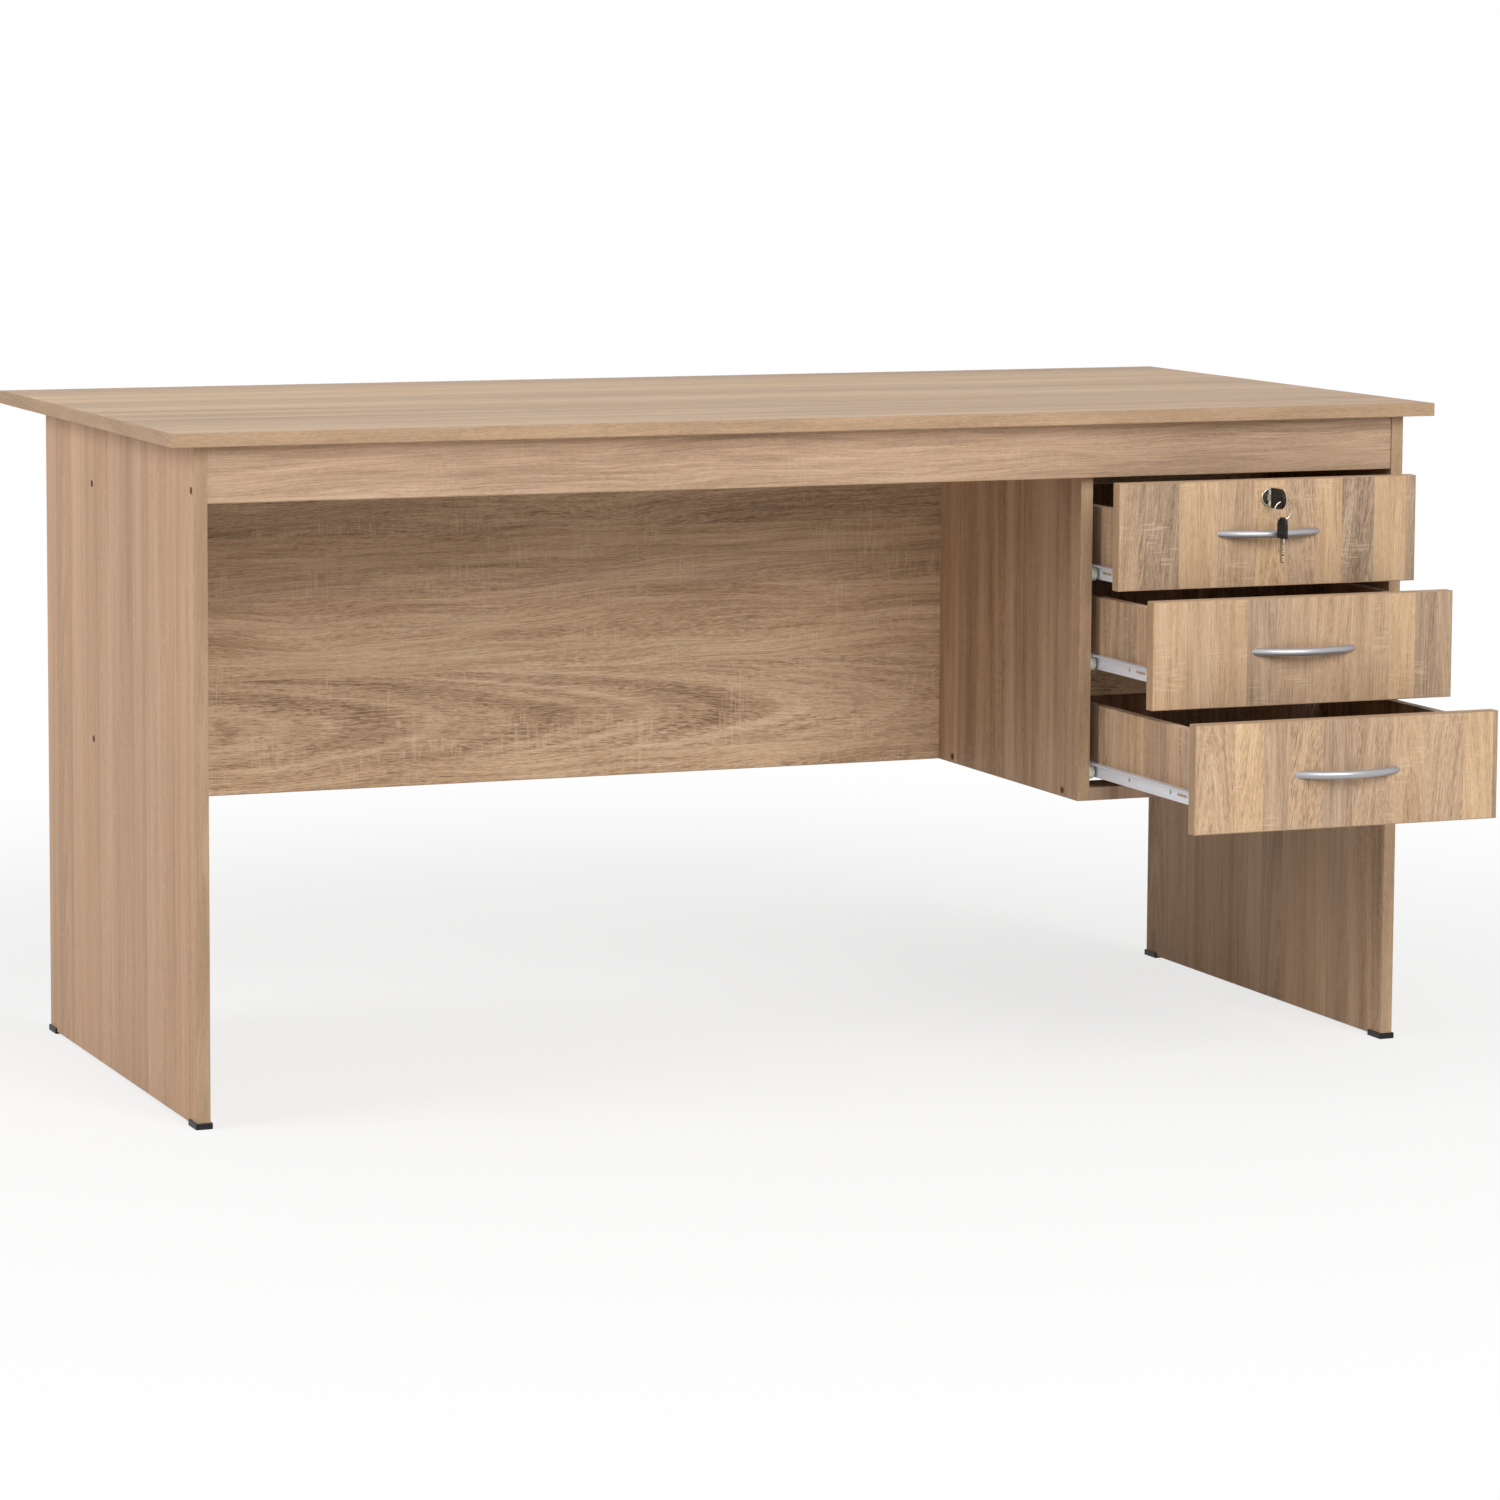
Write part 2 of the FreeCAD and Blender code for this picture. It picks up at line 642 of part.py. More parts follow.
def handle(drawer, face, z, screws):
    """A bow handle with its ends cut flat on the front's face, and its two screws."""
    name = f"{drawer}_handle"
    bow = "((bow_half ^ 2 + bow_rise ^ 2) / (2 * bow_rise))"
    hoop = ring(f"{name}_hoop", "z", (FRONT_MID, plus(face, bow, "-bow_rise"), z), bow, "bow_radius")
    clear = "(bow_rise + bow_radius + overrun)"
    space = box(f"{name}_space", around(FRONT_MID, "(2 * bow_half)"), (minus(face, clear), face),
                around(z, "(bow_radius + overrun)"))
    members = [common(f"{name}_arch", hoop, space)]
    back = plus(face, "front_board", "handle_screw_head_depth")
    length = "(handle_screw_head_depth + front_board + handle_screw_bite)"
    for side, sign, _ in sides():
        x = f"({FRONT_MID} + {sign or '+'}handle_half_pitch)"
        members.append(rod(f"{name}_{side}_boss", "y", (minus(face, "handle_screw_bite"), face), (x, z),
                           "handle_boss_radius"))
        screws.append(screw(f"{name}_{side}_screw", "y", back, -1, (x, z), "handle_screw", length,
                            "handle_screw_head_depth", (f"{drawer}_drawer_front", f"{drawer}_handle")))
    node(f"{drawer}_handle", fuse(f"{name}_body", members))


def front_and_strips(drawer, face, back, foot, top):
    """A drawer front inside its four edge strips."""
    outer_x = (FRONT_LEFT, FRONT_RIGHT)
    inner_x = (plus(FRONT_LEFT, "panel_edge"), minus(FRONT_RIGHT, "panel_edge"))
    inner_z = (plus(foot, "panel_edge"), minus(top, "panel_edge"))
    depth = (face, back)
    core = box(f"{drawer}_front_core", inner_x, depth, inner_z)
    strips = [
        box(f"{drawer}_front_top_strip", outer_x, depth, (inner_z[1], top)),
        box(f"{drawer}_front_foot_strip", outer_x, depth, (foot, inner_z[0])),
        box(f"{drawer}_front_left_strip", (FRONT_LEFT, inner_x[0]), depth, inner_z),
        box(f"{drawer}_front_right_strip", (inner_x[1], FRONT_RIGHT), depth, inner_z),
    ]
    return core, group(f"{drawer}_front_strips", strips)


def drawer_box(drawer, back, foot, top, fasteners):
    """The two sides, the back and the bottom sheet of one drawer."""
    name = f"{drawer}_drawer"
    rear = plus(back, "box_depth")
    sheet_foot = plus(foot, "groove_rise")
    sheet_top = plus(sheet_foot, "bottom_sheet")
    inner = (plus(BOX_LEFT, "box_side"), minus(BOX_RIGHT, "box_side"))
    tongue = "(groove_depth - fit)"
    deep_x = (minus(inner[0], "groove_depth"), plus(inner[1], "groove_depth"))
    groove = box(f"{name}_groove", deep_x, (minus(back, "groove_depth"), plus(rear, "overrun")),
                 (minus(sheet_foot, "fit"), plus(sheet_top, "fit")))
    drill((f"{name}_front", f"{name}_left_side", f"{name}_right_side"), groove)
    bottom = box(f"{name}_sheet", (minus(inner[0], tongue), plus(inner[1], tongue)),
                 (minus(back, tongue), rear), (sheet_foot, sheet_top))
    back_depth = (minus(rear, "box_side"), rear)
    back_board = box(f"{name}_back_core", inner, back_depth, (plus(sheet_top, "fit"), top))
    boards = {f"{name}_bottom": bottom, f"{name}_back": back_board}
    outer = {"left": (BOX_LEFT, 1), "right": (BOX_RIGHT, -1)}
    for side, (face, way) in outer.items():
        thick = reach(face, way, "box_side")
        boards[f"{name}_{side}_side"] = box(f"{name}_{side}_core", thick, (back, rear), (foot, top))
        middle = plus(face, "box_side / 2") if way > 0 else minus(face, "box_side / 2")
        span = (minus(back, "dowel_short"), plus(back, "peg_long"))
        for index, share in enumerate(PEG_SHARES):
            at = (middle, between(foot, top, share))
            fasteners.append(bored_bar(f"{name}_{side}_peg_{index}", "y", span, at, "peg_radius",
                                       (f"{name}_front", f"{name}_{side}_side")))
        hosts = (f"{name}_{side}_side", f"{name}_back")
        for index, share in enumerate(BOX_SCREW_SHARES):
            at = (minus(rear, "box_side / 2"), between(foot, top, share))
            fasteners.append(screw(f"{name}_{side}_back_screw_{index}", "x", face, way, at, "wood_screw",
                                   "box_screw_length", "box_screw_head_depth", hosts))
    return boards


def drawer_places(index):
    """The face, back, lower edge and upper edge of one drawer front, and its box's two edges."""
    drawer = DRAWERS[index]
    kind = "top" if drawer == "top" else "lower"
    back = minus(CLOSED_BACK, f"box_depth * {OPEN_SHARES[index]}")
    front_top = f"({FRONTS_TOP} - {index} * (front_height + front_gap))"
    front_foot = minus(front_top, "front_height")
    return {
        "face": minus(back, "front_board"),
        "back": back,
        "foot": front_foot,
        "top": front_top,
        "box_foot": plus(front_foot, f"{kind}_box_lift"),
        "box_top": minus(front_top, f"{kind}_box_drop"),
    }


def drawer(index, screws):
    """One drawer with its runners, rollers, handle and fasteners."""
    name = DRAWERS[index]
    spots = drawer_places(index)
    fasteners = []
    boards = drawer_box(name, spots["back"], spots["box_foot"], spots["box_top"], fasteners)
    runners = []
    rollers = []
    channels = []
    fixed_rollers = []
    for side, wall, box_face, way in (("left", BAY_LEFT, BOX_LEFT, 1), ("right", PANEL_IN, BOX_RIGHT, -1)):
        channel, fixed_roller, fixings = cabinet_runner(name, side, wall, way, spots["box_foot"])
        runner, roller = drawer_runner(name, side, box_face, -way, spots["box_foot"], spots["back"],
                                       fasteners)
        channels.append(channel)
        fixed_rollers.append(fixed_roller)
        screws += fixings
        runners.append(runner)
        rollers.append(roller)
    node(f"{name}_cabinet_runners", group(f"{name}_channels", channels))
    node(f"{name}_cabinet_rollers", group(f"{name}_fixed_rollers", fixed_rollers))
    node(f"{name}_drawer_runners", group(f"{name}_runners", runners))
    node(f"{name}_drawer_rollers", group(f"{name}_rollers", rollers))
    handle(name, spots["face"], f"(({spots['foot']} + {spots['top']}) / 2)", fasteners)
    core, strips = front_and_strips(name, spots["face"], spots["back"], spots["foot"], spots["top"])
    if name == "top":
        lock(spots["face"], spots["back"], spots["top"])
    boards[f"{name}_drawer_front"] = core
    for label, board in boards.items():
        node(label, board)
    node(f"{name}_front_edging", strips)
    node(f"{name}_drawer_fasteners", group(f"{name}_fastener_set", fasteners))


def lock(face, back, top):
    """The drawer lock: a barrel and case, a rosette, a turning plug with a pin, and a rising bolt."""
    x = FRONT_MID
    z = minus(top, "lock_drop")
    throw_half = "(pin_orbit * sqrt(0.5))"
    case_back = plus(back, "case_depth")
    case_z = (minus(z, "case_below"), minus(top, "case_top_gap"))
    disc_front = plus(back, "case_wall", "lock_play")
    bolt_front = plus(disc_front, "disc_depth", "lock_play")
    bolt_y = (bolt_front, plus(bolt_front, "bolt_depth"))
    bolt_x = around(x, "(bolt_width / 2)")
    pin_y = (plus(disc_front, "disc_depth"), plus(bolt_y[1], "lock_play"))
    barrel_y = (minus(face, "barrel_proud"), plus(back, "case_wall"))
    barrel = rod("lock_barrel", "y", barrel_y, (x, z), "barrel_radius")
    through = (minus(face, "overrun"), plus(back, "overrun"))
    drill(("top_drawer_front",), rod("lock_front_hole", "y", through, (x, z), plus("barrel_radius", "fit")))
    shell = box("lock_shell", around(x, "(case_width / 2)"), (back, case_back), case_z)
    cavity = box("lock_cavity", around(x, "(case_width / 2 - case_wall)"),
                 (plus(back, "case_wall"), minus(case_back, "case_wall")),
                 (plus(case_z[0], "case_wall"), minus(case_z[1], "case_wall")))
    bore = rod("lock_bore", "y", (minus(barrel_y[0], "overrun"), plus(barrel_y[1], "overrun")), (x, z),
               plus("plug_radius", "fit"))
    mouth = box("lock_mouth", (minus(bolt_x[0], "lock_play"), plus(bolt_x[1], "lock_play")),
                (minus(bolt_y[0], "lock_play"), plus(bolt_y[1], "lock_play")), (z, plus(top, "overrun")))
    node("lock_case", cut("lock_case_body", fuse("lock_case_block", [shell, barrel]), [cavity, bore, mouth]))

    disc = rod("rosette_disc", "y", (minus(face, "rosette_depth"), face), (x, z), "rosette_radius")
    eye = rod("rosette_eye", "y", (minus(face, "rosette_depth", "overrun"), plus(face, "overrun")), (x, z),
              plus("barrel_radius", "fit"))
    node("lock_rosette", cut("lock_rosette_ring", disc, [eye]))

    plug_face = minus(face, "plug_proud")
    plug = fuse("lock_plug_block", [
        rod("plug_barrel", "y", (plug_face, plus(disc_front, "disc_depth")), (x, z), "plug_radius"),
        rod("plug_disc", "y", (disc_front, plus(disc_front, "disc_depth")), (x, z), "disc_radius"),
        rod("plug_pin", "y", pin_y, (plus(x, throw_half), minus(z, throw_half)), "pin_radius"),
    ])
    keyway_y = (minus(plug_face, "overrun"), plus(plug_face, "key_depth", "fit"))
    keyway = box("lock_keyway", around(x, "(key_sheet / 2 + fit)"), keyway_y,
                 around(z, "(key_height / 2 + fit)"))
    node("lock_plug", cut("lock_plug_body", plug, [keyway]))

    slot_half = "(pin_radius + pin_play)"
    slot_z = around(minus(z, throw_half), slot_half)
    bolt = box("bolt_bar", bolt_x, bolt_y, (minus(slot_z[0], "bolt_web"), minus(top, "bolt_top_gap")))
    track = box("bolt_track", (x, plus(x, "pin_orbit", slot_half)),
                (minus(bolt_y[0], "overrun"), plus(bolt_y[1], "overrun")), slot_z)
    node("lock_bolt", cut("lock_bolt_body", bolt, [track]))
    keys(face, plug_face, x, z)


def keys(face, plug_face, x, z):
    """The key in the lock, the wire ring through its bow and the spare key on the ring."""
    plate = around(x, "(bow_plate / 2)")
    blade_x = around(x, "(key_sheet / 2)")
    seat_x = around(x, "(key_sheet / 2 + fit)")
    hole_x = around(x, "(bow_plate / 2 + overrun)")
    bow_near = minus(face, "bow_start")
    bow_seat = minus(bow_near, "bow_seat")
    round_half = "(bow_height / 2)"
    round_y = minus(face, "bow_reach", f"-{round_half}")
    hole_y = minus(face, "ring_hole_reach")
    blade_y = (bow_seat, plus(plug_face, "key_depth"))
    node("key_blade", box("key_blade_sheet", blade_x, blade_y, around(z, "(key_height / 2)")))
    bow = fuse("key_bow_block", [
        box("key_bow_plate", plate, (round_y, bow_near), around(z, round_half)),
        rod("key_bow_round", "x", plate, (round_y, z), round_half),
    ])
    node("key_bow", cut("key_bow_body", bow, [
        rod("key_ring_hole", "x", hole_x, (hole_y, z), "ring_hole_radius"),
        box("key_bow_seat", seat_x, (minus(bow_seat, "fit"), plus(bow_near, "overrun")),
            around(z, "(key_height / 2 + fit)")),
    ]))
    wire_top = plus(z, "-ring_hole_radius", "ring_wire", "ring_gap")
    wire_foot = minus(wire_top, "2 * ring_radius")
    ring_centre = (x, hole_y, minus(wire_top, "ring_radius"))
    node("key_ring", ring("key_ring_wire", "y", ring_centre, "ring_radius", "ring_wire"))

    spare_hole = plus(wire_foot, "ring_wire", "ring_gap", "-ring_hole_radius")
    spare_top = plus(spare_hole, "ring_hole_radius", "spare_rim")
    spare_foot = minus(spare_top, "spare_length")
    spare_half = "(spare_width / 2)"
    spare_round = minus(spare_top, spare_half)
    blade_z = (minus(spare_foot, "spare_blade"), plus(spare_foot, "bow_seat"))
    node("spare_key_blade", box("spare_blade_sheet", blade_x, around(hole_y, "(key_height / 2)"), blade_z))
    spare = fuse("spare_bow_block", [
        box("spare_bow_plate", plate, around(hole_y, spare_half), (spare_foot, spare_round)),
        rod("spare_bow_round", "x", plate, (hole_y, spare_round), spare_half),
    ])
    node("spare_key_bow", cut("spare_bow_body", spare, [
        rod("spare_ring_hole", "x", hole_x, (hole_y, spare_hole), "ring_hole_radius"),
        box("spare_bow_seat", seat_x, around(hole_y, "(key_height / 2 + fit)"),
            (minus(spare_foot, "overrun"), plus(blade_z[1], "fit"))),
    ]))


def check_and_write():
    """Stop on any failed object or bad shape, then write one file for each node."""
    doc.recompute()
    for item in doc.Objects:
        if "Invalid" in item.State or "Error" in item.State:
            raise RuntimeError(f"{item.Name} failed to compute")
    for item in nodes:
        if item.Shape.isNull() or not item.Shape.isValid():
            raise RuntimeError(f"{item.Label} has a bad shape")
    if holes:
        raise RuntimeError(f"holes without a piece: {sorted(holes)}")
    os.makedirs("parts", exist_ok=True)
    for item in nodes:
        item.Shape.exportStep(f"parts/{item.Label}.step")
        print(item.Label, len(item.Shape.Solids), "solids", round(item.Shape.Volume))


def main():
    fill_sheet()
    boards = carcass()
    screws, caps = panel_screws()
    pins = dowels()
    angles, angle_screws = brackets()
    screws += angle_screws
    for index in range(len(DRAWERS)):
        drawer(index, screws)
    for label, board in boards.items():
        node(label, board)
    node("corner_brackets", group("bracket_set", angles))
    node("panel_screws", group("screw_set", screws))
    node("screw_caps", group("cap_set", caps))
    node("dowels", group("dowel_set", pins))
    check_and_write()


main()
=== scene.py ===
import math

import bmesh
import bpy
from bmesh.types import BMEdge, BMFace, BMVert
from bpy.props import FloatProperty, FloatVectorProperty, PointerProperty
from mathutils import Matrix, Vector


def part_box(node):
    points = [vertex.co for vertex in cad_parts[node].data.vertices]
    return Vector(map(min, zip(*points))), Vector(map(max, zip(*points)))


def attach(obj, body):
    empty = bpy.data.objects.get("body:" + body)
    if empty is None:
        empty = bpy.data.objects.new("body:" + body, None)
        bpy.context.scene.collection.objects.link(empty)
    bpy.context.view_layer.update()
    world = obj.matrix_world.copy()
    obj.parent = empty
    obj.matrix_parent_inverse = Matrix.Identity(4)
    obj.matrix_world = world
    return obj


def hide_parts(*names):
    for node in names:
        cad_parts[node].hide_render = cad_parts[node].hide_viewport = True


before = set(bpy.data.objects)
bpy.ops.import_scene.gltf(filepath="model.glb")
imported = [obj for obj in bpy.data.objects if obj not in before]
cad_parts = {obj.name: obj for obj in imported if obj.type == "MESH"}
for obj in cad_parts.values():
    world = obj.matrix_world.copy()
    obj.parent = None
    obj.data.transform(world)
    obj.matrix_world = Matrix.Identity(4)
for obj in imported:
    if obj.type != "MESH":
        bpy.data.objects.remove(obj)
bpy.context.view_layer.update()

bl_info = {
    "name": "Office desk finish",
    "version": (1, 0, 0),
    "blender": (4, 5, 0),
    "location": "3D View > Sidebar > Desk",
    "description": "Builds the boards, hardware and finishes of an oak-print office desk on its packed frame",
    "category": "Object",
}

MM = 0.001
X = Vector((1, 0, 0))
Y = Vector((0, 1, 0))
Z = Vector((0, 0, 1))
AXES = (X, Y, Z)
DRAWERS = ("top", "middle", "bottom")
FULL_TURN = 2 * math.pi
# Points that are closer than this are one point.
MERGE = 0.005 * MM
# Edges of a smooth piece that bend more than this stay sharp.
SHARP = math.radians(38)
# Edges of a folded or moulded piece that bend more than this, in radians, are its corners.
CORNER = 1
# A face looks one way where its normal has more than this share of that way.
FACING = 0.9
# Sockets of a colour Mix node, which share their names with those of its other kinds. In the same way, sockets 1 to 4
# of a Map Range node are the lowest and highest value that it reads, and the values that it gives for them.
FACTOR, FIRST, SECOND, MIXED = 0, 6, 7, 2


def linear(code):
    """An sRGB hex colour as linear RGBA."""
    levels = [int(code[spot:spot + 2], 16) / 255 for spot in (0, 2, 4)]
    return (*[v / 12.92 if v <= 0.04045 else ((v + 0.055) / 1.055) ** 2.4 for v in levels], 1.0)


def length(name, description, size):
    """A length that a user may change, given in millimetres."""
    return FloatProperty(name=name, description=description, default=size * MM, unit="LENGTH", precision=5)


def colour(name, description, code):
    """A colour that a user may change, given as an sRGB hex value."""
    return FloatVectorProperty(name=name, description=description, default=linear(code), subtype="COLOR",
                               size=4, min=0, max=1)


class DeskBoards(bpy.types.PropertyGroup):
    """Edges and edge strips of the faced boards."""

    board_edge: length("Board edge", "Rounding along the edges of a faced board", 0.15)
    top_strip: length("Top strip", "Thickness of the strip round the worktop", 2)
    top_strip_edge: length("Top strip edge", "Rounding along the strip round the worktop", 0.9)
    strip: length("Edge strip", "Thickness of the strips on the other boards", 1)
    strip_edge: length("Strip edge", "Rounding along the strips on the other boards", 0.45)
    foot_base: length("Foot base", "Thickness under the panel of a plastic foot", 3)
    foot_wall: length("Foot wall", "Thickness of the wall of a plastic foot", 2)
    foot_edge: length("Foot edge", "Rounding along a plastic foot", 0.7)


class DeskRunners(bpy.types.PropertyGroup):
    """Sheet steel roller runners."""

    sheet: length("Sheet", "Thickness of the runner sheet", 1.2)
    flange: length("Flange", "Reach of a runner's flange from its web", 8.6)
    lip: length("Lip", "Reach of a drawer runner under its drawer side", 9)
    bay: length("Roller bay", "Length of a runner without a flange, where its roller sits", 20)
    hole: length("Hole radius", "Radius of the holes and slots in a drawer runner", 2.5)
    slot: length("Slot", "Length of a slot in a drawer runner", 26)
    fold: length("Fold", "Rounding along the folds and edges of the sheet", 0.45)
    head_radius: length("Axle head", "Radius of a riveted axle's head", 4)
    axle_radius: length("Axle", "Radius of a roller's axle", 2.5)
    axle_reach: length("Axle reach", "Reach of an axle from the web to the inside of its head", 8.1)


class DeskHardware(bpy.types.PropertyGroup):
    """Handles, lock and keys."""

    bow_half: length("Bow half", "Half the spread of a bow handle's middle line", 58)
    bow_rise: length("Bow rise", "Height of a bow handle's middle line above the front", 16.5)
    bow_bar: length("Bow bar", "Radius of a bow handle's bar", 4.4)
    boss: length("Boss", "Radius of the boss round a handle's screw", 3.6)
    boss_pitch: length("Boss pitch", "Half the distance between a handle's screws", 48)
    plug: length("Plug", "Radius of the lock's plug", 6)
    barrel: length("Barrel", "Radius of the lock's barrel", 9)
    case_edge: length("Case edge", "Rounding along the lock's case", 1.2)
    case_wall: length("Case wall", "Thickness of the lock's case under its bolt", 1.5)
    bolt_play: length("Bolt play", "Room round the bolt in the lock's case", 0.4)
    keyway_width: length("Keyway width", "Width of the lock's keyway", 2.1)
    keyway_height: length("Keyway height", "Height of the lock's keyway", 7.1)
    ring_hole: length("Ring hole", "Radius of the hole in a key's bow", 3)
    ring_hole_inset: length("Ring hole inset", "From the round end of a bow to the middle of its hole", 4.5)
    spare_hole_inset: length("Spare hole inset", "From the round end of the spare bow to the middle of its hole", 5)
    ring_wire: length("Ring wire", "Radius of the key ring's wire", 0.7)


class DeskFinishes(bpy.types.PropertyGroup):
    """Colours of the finishes, as they look in plain light."""

    oak_dark: colour("Oak dark", "Darkest streaks of the oak print", "7C6149")
    oak_brown: colour("Oak brown", "Brown bands of the oak print", "A28568")
    oak_tan: colour("Oak tan", "Main tone of the oak print", "BD9D7E")
    oak_light: colour("Oak light", "Light bands of the oak print", "CCAE8F")
    oak_pale: colour("Oak pale", "Palest streaks of the oak print", "DBC09F")
    oak_pore: colour("Oak pore", "Pores of the oak print", "674D39")
    hardboard: colour("Hardboard", "Drawer bottoms", "8A6B4E")
    beech: colour("Beech", "Dowels", "C9A273")
    powder: colour("Powder coat", "Runners", "E4E6EC")
    nylon: colour("Nylon", "Rollers", "E7E3D3")
    satin: colour("Satin metal", "Handles", "AEAEB1")
    nickel: colour("Nickel", "Lock and keys", "CFC8BC")
    zinc: colour("Zinc", "Screws and brackets", "A9ACB0")
    black: colour("Black plastic", "Feet and key bows", "100F0F")
    brown: colour("Brown plastic", "Screw caps", "64462F")


class DeskStage(bpy.types.PropertyGroup):
    """Camera, lamps and floor."""

    camera_place: FloatVectorProperty(name="Camera", description="Place of the camera", subtype="TRANSLATION",
                                      unit="LENGTH", default=(-2.27206, -5.57242, 1.15662))
    camera_turn: FloatVectorProperty(name="Camera turn", description="Turn of the camera", subtype="EULER",
                                     default=[math.radians(a) for a in (83.91099, -0.26938, -22.05161)])
    lens: FloatProperty(name="Lens", description="Focal length in millimetres on a 36 mm sensor", default=123.548)
    shift: FloatVectorProperty(name="Shift", description="Shift of the picture across the sensor", size=2,
                               default=(0.03275, -0.10235))
    sky: FloatProperty(name="Sky", description="Strength of the even light from all round", default=0.2)
    front: FloatProperty(name="Front lamp", description="Power of the lamp in front", default=306, unit="POWER")
    side: FloatProperty(name="Side lamp", description="Power of the lamp on the left", default=154, unit="POWER")
    top: FloatProperty(name="Top lamp", description="Power of the lamp overhead", default=15, unit="POWER")
    floor: colour("Floor", "Colour of the floor", "EDEDEB")


def add(tree, kind, sockets=None, **settings):
    """Add a node with its settings, fill or link its sockets, and return its outputs."""
    node = tree.nodes.new(f"ShaderNode{kind}")
    for name, value in settings.items():
        setattr(node, name, value)
    for name, value in (sockets or {}).items():
        if isinstance(value, bpy.types.NodeSocket):
            tree.links.new(value, node.inputs[name])
        else:
            node.inputs[name].default_value = value
    return node.outputs


def new_material(name):
    """A material with its node tree, its shader and its Object coordinates."""
    material = bpy.data.materials.new(name)
    material.use_nodes = True
    tree = material.node_tree
    return material, tree, tree.nodes["Principled BSDF"], add(tree, "TexCoord")["Object"]


def settle(shader, **values):
    """Set plain values on a shader's own sockets."""
    for name, value in values.items():
        shader.inputs[name.replace("_", " ").title().replace("Ior", "IOR")].default_value = value


# How the oak print lies on each kind of board. Sizes are in millimetres: stave is the width of a printed stave,
# run the length over which the grain changes, ring the spacing of the growth lines, sweep how far those lines
# wander, spread the width over which they do, and flame the length of a flame in the staves that have one.
# Slant is the most that a stave's lines lean, hue turns the print from pink (below 0.5) to yellow, and vivid is its
# saturation. The other values are shares of the tone's range, or of the staves for flames.
OAK_LOOKS = {
    # The worktop's tone is set lighter than the other boards' as painted light: it stands in for the brighter light
    # that falls on the top.
    "worktop": dict(stave=85, run=1100, ring=45, sweep=9, spread=60, slant=0.005, flame=160, flames=0.0, tone=0.69,
                    hue=0.5, vivid=1.0, staves=0.24, clouds=0.3, rings=0.9, fibres=1.4,
                    dashes=1.2, pores=0.4, saw=0.12),
    "rail": dict(stave=240, run=200, ring=8, sweep=12, spread=40, slant=0.03, flame=60, flames=0.0, tone=0.48,
                 hue=0.496, vivid=0.95, staves=0.05, clouds=0.3, rings=0.8, fibres=1.2,
                 dashes=1.2, pores=0.4, saw=0.12),
    "modesty": dict(stave=100, run=320, ring=14, sweep=24, spread=60, slant=0.05, flame=110, flames=0.3, tone=0.6,
                    hue=0.499, vivid=1.04, staves=0.3, clouds=0.5, rings=1.3, fibres=1.7,
                    dashes=1.8, pores=0.8, saw=0.3),
    "upright": dict(stave=46, run=1000, ring=22, sweep=8, spread=50, slant=0.01, flame=110, flames=0.25, tone=0.54,
                    hue=0.493, vivid=1.06, staves=0.12, clouds=0.4, rings=0.6, fibres=0.9,
                    dashes=1.0, pores=0.35, saw=0.1),
    "inner": dict(stave=60, run=700, ring=22, sweep=14, spread=50, slant=0.01, flame=110, flames=0.3, tone=0.57,
                  hue=0.496, vivid=1.04, staves=0.15, clouds=0.6, rings=1.2, fibres=1.2,
                  dashes=1.2, pores=0.5, saw=0.15),
    "front": dict(stave=42, run=230, ring=14, sweep=10, spread=26, slant=0.13, flame=60, flames=0.25, tone=0.57,
                  hue=0.5, vivid=1.06, staves=0.5, clouds=0.3, rings=1.0, fibres=1.3,
                  dashes=1.3, pores=0.6, saw=0.34),
    "box": dict(stave=30, run=260, ring=12, sweep=6, spread=26, slant=0.05, flame=60, flames=0.0, tone=0.57,
                hue=0.498, vivid=1.04, staves=0.5, clouds=0.4, rings=1.6, fibres=1.4,
                dashes=1.5, pores=0.6, saw=0.4),
    "strip": dict(stave=400, run=110, ring=5, sweep=4, spread=30, slant=0.04, flame=60, flames=0.0, tone=0.4,
                  hue=0.5, vivid=1.0, staves=0.1, clouds=0.25, rings=0.3, fibres=0.45,
                  dashes=0.6, pores=0.2, saw=0.0),
}
# Lengths and widths of the print's smaller marks, in millimetres.
FIBRE = (90, 1.25)
# Fine dashes between the fibres, which give the print its crisp look.
DASH = (7, 0.8)
# Real pores are about 0.2 mm wide, and are drawn wider so that they show in the render.
PORE = (11, 0.9)
SAW_MARK = (2.2, 24)
SAW_PATCH = (70, 60)
# Levels of noise between which a pore, a saw mark and a patch of saw marks fade in.
PORE_EDGE = (0.56, 0.64)
SAW_MARK_EDGE = (0.52, 0.72)
SAW_PATCH_EDGE = (0.55, 0.63)
# Turns of a flame's line from the middle of its stave to the side.
FLAME_CURL = 9
# How far apart the staves lie in the noise, so that no two are alike.
STAVE_STEP = 60.0


